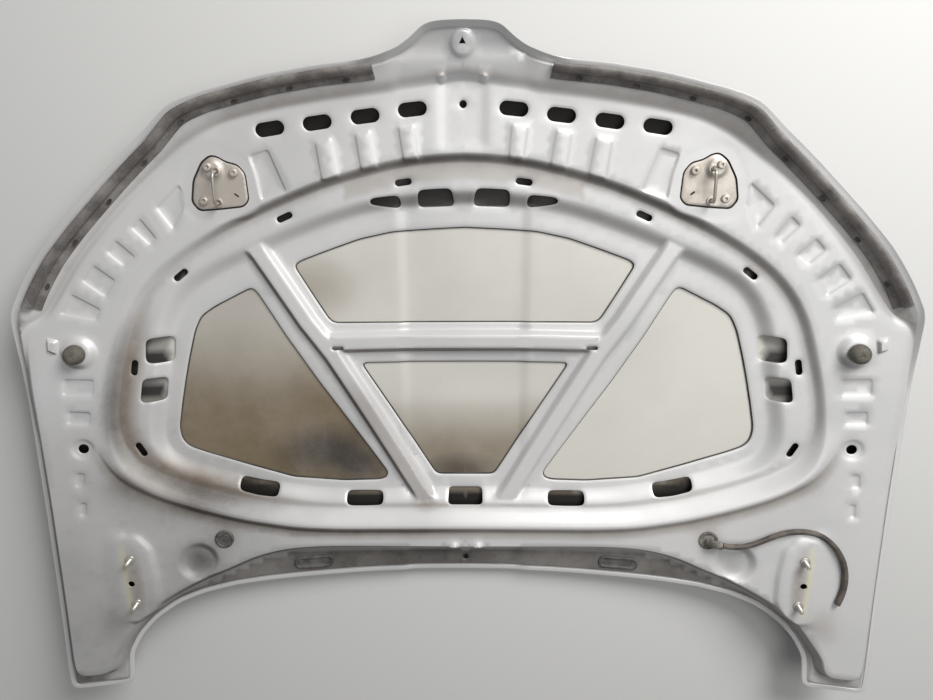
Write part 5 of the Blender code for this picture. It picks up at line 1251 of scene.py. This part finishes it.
# Latch strikers: a domed zinc-plated plate lies in an opening of the frame, over a tray that holds
# its nuts. Three socket-head bolts hold it, and a bent rod stands in it for the latch to catch.
STRIKER_CLEARANCE = 0.0025
STRIKER_PLATE = 0.0020
STRIKER_SINK = 0.0025
DOME_RADIUS = 0.018
DOME_WALL = 0.007
DOME_RISE = 0.0035
PLATE_ROUND = 0.0006
PLATE_GRID = 0.004
HOLE_CLEARANCE = 0.0008
BOW_RADIUS = 0.0026
BOW_HEIGHT = 0.026
BOW_CORNER = 0.008
BOLT_RADIUS = 0.0030
BOLT_HEAD_RADIUS = 0.0068
BOLT_HEAD = 0.0055
BOLT_CHAMFER = 0.0020
BOLT_SOCKET_RADIUS = 0.0026
BOLT_SOCKET_DEPTH = 0.0035
BOLT_TAIL = 0.0045
TRAY_SHEET = 0.0015
TOUCH = 0.0003
FOOT_RING_RADIUS = 0.0062
FOOT_RING_THICK = 0.0014
STRIKER_BOLTS = np.array([(0.408, 0.367), (0.369, 0.358), (0.420, 0.314)])
STRIKER_DOME = np.array([(0.402, 0.362)])[0]
BOW_FEET = np.array([(0.396, 0.360), (0.398, 0.310)])
DRAIN_SLOT = (0.3684, 0.3224)
DRAIN_SLOT_SIZE = (0.009, 0.003)
DRAIN_SLOT_TURN = 38
striker_zinc = dusty_finish("striker_zinc", (0.60, 0.56, 0.51), 0.38, 0.6, 0.6, (0.44, 0.38, 0.32), 38.0)
bow_steel = dusty_finish("bow_steel", (0.55, 0.52, 0.47), 0.35, 0.8, 0.35, (0.40, 0.33, 0.26), 80.0)
# The tray is near black: its primer, and painted shadow in the gap round the striker plate.
tray_primer_and_shade = dusty_finish("tray_primer_and_shade", (0.018, 0.016, 0.014), 0.7, 0.0, 0.1, (0.12, 0.10, 0.08),
                           30.0)


def plate_dome(x, y):
    away = np.hypot(np.abs(x) - STRIKER_DOME[0], y - STRIKER_DOME[1])
    edge = depth_in(plate_line, np.abs(x), y)
    fall = PLATE_ROUND * (1 - np.clip(edge / PLATE_ROUND, 0, 1)) ** 2
    return STRIKER_PLANE(x, y) - STRIKER_SINK + DOME_RISE * ramp((DOME_RADIUS - away) / DOME_WALL), fall


def plate_under(x, y):
    return plate_dome(x, y)[0]


def plate_over(x, y):
    rise, fall = plate_dome(x, y)
    return rise + STRIKER_PLATE - fall


def around(centre, radius, angles):
    # Points on a circle, at angles in degrees.
    return [(centre[0] + radius * math.cos(math.radians(angle)),
             centre[1] + radius * math.sin(math.radians(angle))) for angle in angles]


def on_side(side, points, faces):
    # Points and faces of the piece on one side. The left one is the mirror image.
    return np.array(points) * (side, 1, 1), [face[::-1] for face in faces] if side < 0 else faces


plate_line = rounded(inset(closed(STRIKER_OPENING), STRIKER_CLEARANCE), PAD_ROUND, 0.003)
plate_holes = [circle(bolt, BOLT_RADIUS + HOLE_CLEARANCE, 16) for bolt in STRIKER_BOLTS]
plate_holes += [circle(foot, BOW_RADIUS + HOLE_CLEARANCE, 16) for foot in BOW_FEET]
plate_holes.append(oval(DRAIN_SLOT, *DRAIN_SLOT_SIZE, DRAIN_SLOT_TURN, 5))
plate_lines = [inset(plate_line, PLATE_ROUND * share) for share in (0.5, 1.0)]
plate_lines += [circle(STRIKER_DOME, DOME_RADIUS - DOME_WALL * share, 32)
                for share in (0.15, 0.5, 0.85, 1.0)]
points, faces = pressed_sheet(plate_line, plate_under, plate_over, plate_holes, plate_lines, PLATE_GRID)
for side, word in SIDES:
    add_piece("striker_plate_" + word + "_domed", *on_side(side, points, faces), striker_zinc,
              "zinc_plate", ["striker_plate_" + word], 40)
    refinish("striker_tray_" + word, tray_primer_and_shade)
    for number, bolt in enumerate(STRIKER_BOLTS, 1):
        ring = circle(bolt, BOLT_HEAD_RADIUS)
        seat = float(np.max(plate_over(ring[:, 0], ring[:, 1]))) + TOUCH
        tail = float(STRIKER_PLANE(*bolt)) - STRIKER_SINK - TRAY_SHEET - BOLT_TAIL - seat
        profile = [(0, tail), (BOLT_RADIUS, tail), (BOLT_RADIUS, 0), (BOLT_HEAD_RADIUS - 0.0004, 0),
                   (BOLT_HEAD_RADIUS, 0.0005)]
        for degrees in (0, 22, 45, 68, 90):
            angle = math.radians(degrees)
            profile.append((BOLT_HEAD_RADIUS - BOLT_CHAMFER * (1 - math.cos(angle)),
                            BOLT_HEAD - BOLT_CHAMFER * (1 - math.sin(angle))))
        profile += [(BOLT_SOCKET_RADIUS + 0.0003, BOLT_HEAD), (BOLT_SOCKET_RADIUS, BOLT_HEAD - 0.0004),
                    (BOLT_SOCKET_RADIUS, BOLT_HEAD - BOLT_SOCKET_DEPTH),
                    (0, BOLT_HEAD - BOLT_SOCKET_DEPTH - 0.0006)]
        node = "striker_bolt_" + word + "_" + str(number)
        turned_piece(node + "_socket_head", profile, bolt, seat, STRIKER_NORMAL, striker_zinc,
                     [node], side, 24)
    foot_heights = plate_under(BOW_FEET[:, 0], BOW_FEET[:, 1])
    front, rear = (Vector((x, y, z)) for (x, y), z in zip(BOW_FEET, foot_heights))
    along = (rear - front).normalized()
    route = [front]
    for corner, start, turn in ((front + STRIKER_NORMAL * BOW_HEIGHT, STRIKER_NORMAL, along),
                                (rear + STRIKER_NORMAL * BOW_HEIGHT, along, -STRIKER_NORMAL)):
        centre = corner - start * BOW_CORNER + turn * BOW_CORNER
        for degrees in range(0, 91, 10):
            angle = math.radians(degrees)
            route.append(centre + start * BOW_CORNER * math.sin(angle)
                         - turn * BOW_CORNER * math.cos(angle))
    route.append(rear)
    route = [(side * spot.x, spot.y, spot.z) for spot in route]
    rod("striker_bow_" + word + "_bent", route, BOW_RADIUS, bow_steel,
        ["striker_bow_" + word])
    for foot, end in ((BOW_FEET[0], 360), (BOW_FEET[1], 300)):
        base = float(plate_over(*foot.reshape(2, 1))[0]) + FOOT_RING_THICK * 0.8
        ring = [(side * x, y, base) for x, y in around(foot, FOOT_RING_RADIUS, range(40, 40 + end, 20))]
        rod("striker_foot_ring_" + word + "_" + str(end), ring, FOOT_RING_THICK, striker_zinc,
            [])

# Rubber buffers: a moulded dome on each side, screwed down on a raised seat of the frame by the
# plastic stem moulded into it. The closed bonnet rests on them.
BUFFER_RADIUS = 0.0165
BUFFER_HEIGHT = 0.024
BUFFER_BORE = 0.0053
BUFFER_FORM = ((0.86, 0.0), (0.9, 0.03), (0.96, 0.12), (1.0, 0.25), (1.0, 0.38), (0.985, 0.52),
               (0.95, 0.64), (0.89, 0.75), (0.80, 0.85), (0.68, 0.93), (0.52, 0.98), (0.38, 1.0),
               (0.20, 1.0), (0.16, 0.96), (0.0, 0.96))
buffer_rubber = dusty_finish("buffer_rubber", (0.075, 0.072, 0.060), 0.55, 0.0, 0.55,
                             (0.24, 0.215, 0.175), 50.0)
stem_plastic = dusty_finish("stem_plastic", (0.03, 0.03, 0.03), 0.5, 0.0, 0.2)
height = float(BUFFER_PLANE(*BUFFER)) + FRAME_SHEET + TOUCH
profile = [(0, BUFFER_HEIGHT / 2), (BUFFER_BORE, BUFFER_HEIGHT / 2), (BUFFER_BORE, 0)]
profile += [(BUFFER_RADIUS * wide, BUFFER_HEIGHT * high) for wide, high in BUFFER_FORM]
for side, word in SIDES:
    turned_piece("buffer_" + word + "_moulded", profile, BUFFER, height, BUFFER_NORMAL, buffer_rubber,
                 ["buffer_" + word], side, 40)
    refinish("buffer_stem_" + word, stem_plastic)

# Front seals: an extruded rubber strip with a hollow bulb along its outer edge and a flat base,
# laid along the shelf of the frame on each side. Plastic clips press its base into the frame.
SEAL_START_X = 0.133
SEAL_END_Y = 0.150
SEAL_TURN_X = 0.40
SEAL_TURN = 0.10
SEAL_INSET_FRONT = 0.0150
SEAL_INSET_SIDE = 0.0220
SEAL_BASE = 0.0160
SEAL_BASE_THICK = 0.0024
BULB_RADIUS = 0.0066
BULB_WALL = 0.0018
BULB_LIFT = 0.0006
BULB_SHIFT = 0.0004
HOLLOW_SIDES = 16
SEAL_STEP = 0.0073
SEAL_TOE = 0.0022
CLIP_LENGTH = 0.011
CLIP_WIDTH = 0.006
CLIP_HEIGHT = 0.0015
CLIP_GAP = 0.0005
CLIP_COUNT = 8
CLIP_PLACE = 0.74
CLIP_RIM = 0.0012
CLIP_SINK = 0.0008
CLIP_SHARP = 35
seal_rubber = dusty_finish("seal_rubber", (0.10, 0.090, 0.084), 0.42, 0.0, 0.75, (0.32, 0.30, 0.285),
                           22.0)
clip_plastic = dusty_finish("clip_plastic", (0.025, 0.023, 0.021), 0.45, 0.0, 0.4, (0.20, 0.17, 0.15), 90.0)
on_seal = (EDGE[:, 0] > SEAL_START_X) & (EDGE[:, 1] > SEAL_END_Y)
seal_insets = mix(SEAL_INSET_FRONT, SEAL_INSET_SIDE, np.clip((EDGE[:, 0] - SEAL_TURN_X) / SEAL_TURN, 0, 1))
SEAL_OUTER = inset(EDGE, seal_insets)[on_seal]
SEAL_INNER = inset(EDGE, seal_insets + SEAL_BASE)[on_seal]
near_z = frame_top(SEAL_OUTER[:, 0], SEAL_OUTER[:, 1])
far_z = frame_top(SEAL_INNER[:, 0], SEAL_INNER[:, 1])
hub = (BULB_SHIFT, BULB_RADIUS + BULB_LIFT)
section = [(SEAL_BASE, 0), (SEAL_BASE, SEAL_BASE_THICK - 0.0006), (SEAL_BASE - 0.0006, SEAL_BASE_THICK),
           (SEAL_STEP + 0.0016, SEAL_BASE_THICK), (SEAL_STEP, SEAL_BASE_THICK + 0.0004)]
section += around(hub, BULB_RADIUS, range(-20, 256, 15)) + [(SEAL_TOE, 0)]
hollow = around(hub, BULB_RADIUS - BULB_WALL, [-360 * step / HOLLOW_SIDES for step in range(HOLLOW_SIDES)])
sizes = (len(section), len(hollow))
count = sum(sizes)
points = []
faces = []
for (ox, oy), (ix, iy), near, far in zip(SEAL_OUTER, SEAL_INNER, near_z, far_z):
    for across, up in section + hollow:
        share = across / SEAL_BASE
        points.append((mix(ox, ix, share), mix(oy, iy, share), mix(near, far, share) + TOUCH + up))
for station in range(len(SEAL_OUTER) - 1):
    for start, size in ((0, sizes[0]), (sizes[0], sizes[1])):
        for step in range(size):
            first = station * count + start + step
            second = station * count + start + (step + 1) % size
            faces.append((first, first + count, second + count, second))
loops = section + hollow
edges = [(i, (i + 1) % sizes[0]) for i in range(sizes[0])]
edges += [(sizes[0] + i, sizes[0] + (i + 1) % sizes[1]) for i in range(sizes[1])]
found = delaunay_2d_cdt([Vector(point) for point in loops], edges, [], 0, 1e-7)
flat = [tuple(point) for point in found[0]]
origin = [group[0] for group in found[3]]
for face in found[2]:
    middle = np.mean([flat[i] for i in face], axis=0)
    if is_inside(np.array(section), *middle) and not is_inside(np.array(hollow), *middle):
        faces.append(tuple(origin[i] for i in face))
        faces.append(tuple((len(SEAL_OUTER) - 1) * count + origin[i] for i in reversed(face)))
for side, word in SIDES:
    add_piece("front_seal_" + word + "_strip", *on_side(side, points, faces), seal_rubber,
              "seal_rubber", ["front_seal_" + word], 50)

lengths = np.concatenate([[0], np.cumsum(np.linalg.norm(np.diff(SEAL_INNER, axis=0), axis=1))])
outer = np.column_stack([SEAL_OUTER, near_z])
inner = np.column_stack([SEAL_INNER, far_z])
for side, word in SIDES:
    for number in range(CLIP_COUNT):
        middle = lengths[-1] * (number + 0.5) / CLIP_COUNT
        ends = []
        for reach in (middle - CLIP_LENGTH / 2, middle + CLIP_LENGTH / 2):
            near = Vector([np.interp(reach, lengths, outer[:, k]) for k in range(3)])
            far = Vector([np.interp(reach, lengths, inner[:, k]) for k in range(3)])
            ends.append((near.lerp(far, CLIP_PLACE), (far - near).normalized()))
        centre = (ends[0][0] + ends[1][0]) / 2
        centre.z += TOUCH + SEAL_BASE_THICK + CLIP_GAP
        along = (ends[1][0] - ends[0][0]).normalized()
        up = along.cross(ends[0][1])
        up = up if up.z > 0 else -up
        across = up.cross(along).normalized()
        turn = Matrix((along, across, up)).transposed().to_4x4()
        bpy.ops.object.select_all(action="DESELECT")
        bpy.ops.mesh.primitive_cylinder_add(vertices=32, radius=0.5, depth=1.0, end_fill_type="NGON")
        clip = bpy.context.object
        clip.name = "seal_clip_" + word + "_" + str(number + 1) + "_head"
        for vertex in clip.data.vertices:
            x, y, z = vertex.co
            vertex.co = (x * CLIP_LENGTH, y * CLIP_WIDTH, (z + 0.5) * CLIP_HEIGHT)
        bpy.ops.object.mode_set(mode="EDIT")
        bpy.ops.mesh.select_all(action="DESELECT")
        bpy.ops.object.mode_set(mode="OBJECT")
        for face in clip.data.polygons:
            face.select = face.normal.z > 0.9
        bpy.ops.object.mode_set(mode="EDIT")
        bpy.ops.mesh.inset(thickness=CLIP_RIM)
        bpy.ops.mesh.inset(thickness=0.0002, depth=-CLIP_SINK)
        bpy.ops.object.mode_set(mode="OBJECT")
        clip.data.transform(turn)
        clip.data.transform(Matrix.Translation(centre))
        if side < 0:
            clip.data.transform(Matrix.Scale(-1, 4, (1, 0, 0)))
            clip.data.flip_normals()
        clip.data.shade_smooth()
        clip.data.set_sharp_from_angle(angle=math.radians(CLIP_SHARP))
        clip.data.materials.append(clip_plastic)
        clip.select_set(False)
        stand_for(clip, ["seal_clip_" + word + "_" + str(number + 1)])

# Grommets: round rubber plugs pressed into the frame. The left one is blind. The right one has an
# elbow that the washer hose is pushed on to.
GROMMET_LIP_RADIUS = 0.0170
GROMMET_LIP = 0.0030
GROMMET_NECK = 0.0040
GROMMET_SHOULDER_RADIUS = 0.0145
GROMMET_DISH_RADIUS = 0.0080
GROMMET_DISH_DEPTH = 0.0020
SPOUT_RADIUS = 0.0075
SPOUT_HEIGHT = 0.0160
SPOUT_LENGTH = 0.0190
ELBOW_BEND = 0.010
grommet_rubber = dusty_finish("grommet_rubber", (0.060, 0.056, 0.050), 0.55, 0.0, 0.8,
                              (0.36, 0.33, 0.30), 70.0)
blind_rubber = dusty_finish("blind_rubber", (0.034, 0.032, 0.030), 0.50, 0.0, 0.45,
                            (0.27, 0.25, 0.23), 70.0)
grommet_top = float(frame_top(*GROMMET)[0]) + TOUCH
grommet_neck = GROMMET_HOLE_RADIUS - TOUCH
grommet_foot = -FRAME_SHEET - 2 * TOUCH - GROMMET_NECK
collar = [(0, grommet_foot), (grommet_neck - 0.0008, grommet_foot), (grommet_neck, grommet_foot + 0.001),
          (grommet_neck, 0), (GROMMET_LIP_RADIUS - 0.0004, 0), (GROMMET_LIP_RADIUS, 0.0004),
          (GROMMET_LIP_RADIUS, GROMMET_LIP * 0.45), (GROMMET_LIP_RADIUS - 0.0007, GROMMET_LIP * 0.75),
          (GROMMET_SHOULDER_RADIUS, GROMMET_LIP), (GROMMET_SHOULDER_RADIUS - 0.0012, GROMMET_LIP),
          (GROMMET_SHOULDER_RADIUS - 0.0030, GROMMET_LIP - 0.0012)]
dish = [(GROMMET_DISH_RADIUS + 0.0014, GROMMET_LIP - 0.0012),
        (GROMMET_DISH_RADIUS + 0.0008, GROMMET_LIP - 0.0002),
        (GROMMET_DISH_RADIUS, GROMMET_LIP - 0.0002),
        (GROMMET_DISH_RADIUS - 0.0008, GROMMET_LIP - GROMMET_DISH_DEPTH),
        (0.0032, GROMMET_LIP - GROMMET_DISH_DEPTH), (0.0026, GROMMET_LIP - 0.0008),
        (0, GROMMET_LIP - 0.0004)]
elbow_foot = [(SPOUT_RADIUS + 0.0018, GROMMET_LIP - 0.0012), (SPOUT_RADIUS, GROMMET_LIP),
              (0, GROMMET_LIP)]
grommet_normal = seat_plane(GROMMET, 0)[1]
turned_piece("grommet_left_blind", collar + dish, GROMMET, grommet_top, grommet_normal, blind_rubber,
             ["grommet_left"], -1, 40)
turned_piece("grommet_right_collar", collar + elbow_foot, GROMMET, grommet_top, grommet_normal,
             grommet_rubber, ["grommet_right"], 1, 40)
elbow_start = Vector((*GROMMET, grommet_top - TOUCH + SPOUT_HEIGHT))
ahead = (Vector(HOSE_ROUTE[0]) - elbow_start).normalized()
elbow_route = [Vector((*GROMMET, grommet_top + GROMMET_LIP - 0.0005))]
for degrees in range(0, 91, 15):
    angle = math.radians(degrees)
    elbow_route.append(elbow_start + Vector((0, 0, -ELBOW_BEND * (1 - math.sin(angle))))
                       + ahead * ELBOW_BEND * (1 - math.cos(angle)))
elbow_route += [elbow_start + ahead * reach for reach in (0.0125, 0.0155, SPOUT_LENGTH)]
rod("grommet_right_elbow", elbow_route, SPOUT_RADIUS - 0.0004, grommet_rubber, [])

# Washer jets: an oval moulded plastic jet snapped into the rear gutter on each side.
JET_HEIGHT = 0.0027
JET_FOOT = 0.0005
JET_ROUND = 0.0022
JET_RIM = 0.0035
JET_BOWL_WALL = 0.003
JET_BOWL = 0.0016
JET_GRID = 0.004
jet_plastic = dusty_finish("jet_plastic", (0.030, 0.028, 0.027), 0.45, 0.0, 0.6, (0.20, 0.19, 0.185),
                           40.0)
jet_line = oval(JET, *JET_SIZE, JET_TURN, 16)


def jet_under(x, y):
    return frame_top(x, y) + TOUCH


def jet_over(x, y):
    edge = depth_in(jet_line, x, y)
    rim = np.sqrt(np.clip(1 - (1 - np.clip(edge / JET_ROUND, 0, 1)) ** 2, 0, 1))
    bowl = ramp((edge - JET_RIM) / JET_BOWL_WALL) * JET_BOWL
    return frame_top(x, y) + TOUCH + JET_FOOT + (JET_HEIGHT - JET_FOOT) * rim - bowl


jet_lines = [oval(JET, JET_SIZE[0] - 2 * width, JET_SIZE[1] - 2 * width, JET_TURN, 16)
             for width in (0.0003, 0.0008, 0.0015, 0.0022, 0.0035, 0.0045, 0.0055, 0.0065)]
points, faces = pressed_sheet(jet_line, jet_under, jet_over, [], jet_lines, JET_GRID)
for side, word in SIDES:
    add_piece("washer_jet_" + word + "_moulded", *on_side(side, points, faces), jet_plastic,
              "black_plastic", ["washer_jet_" + word], 45)
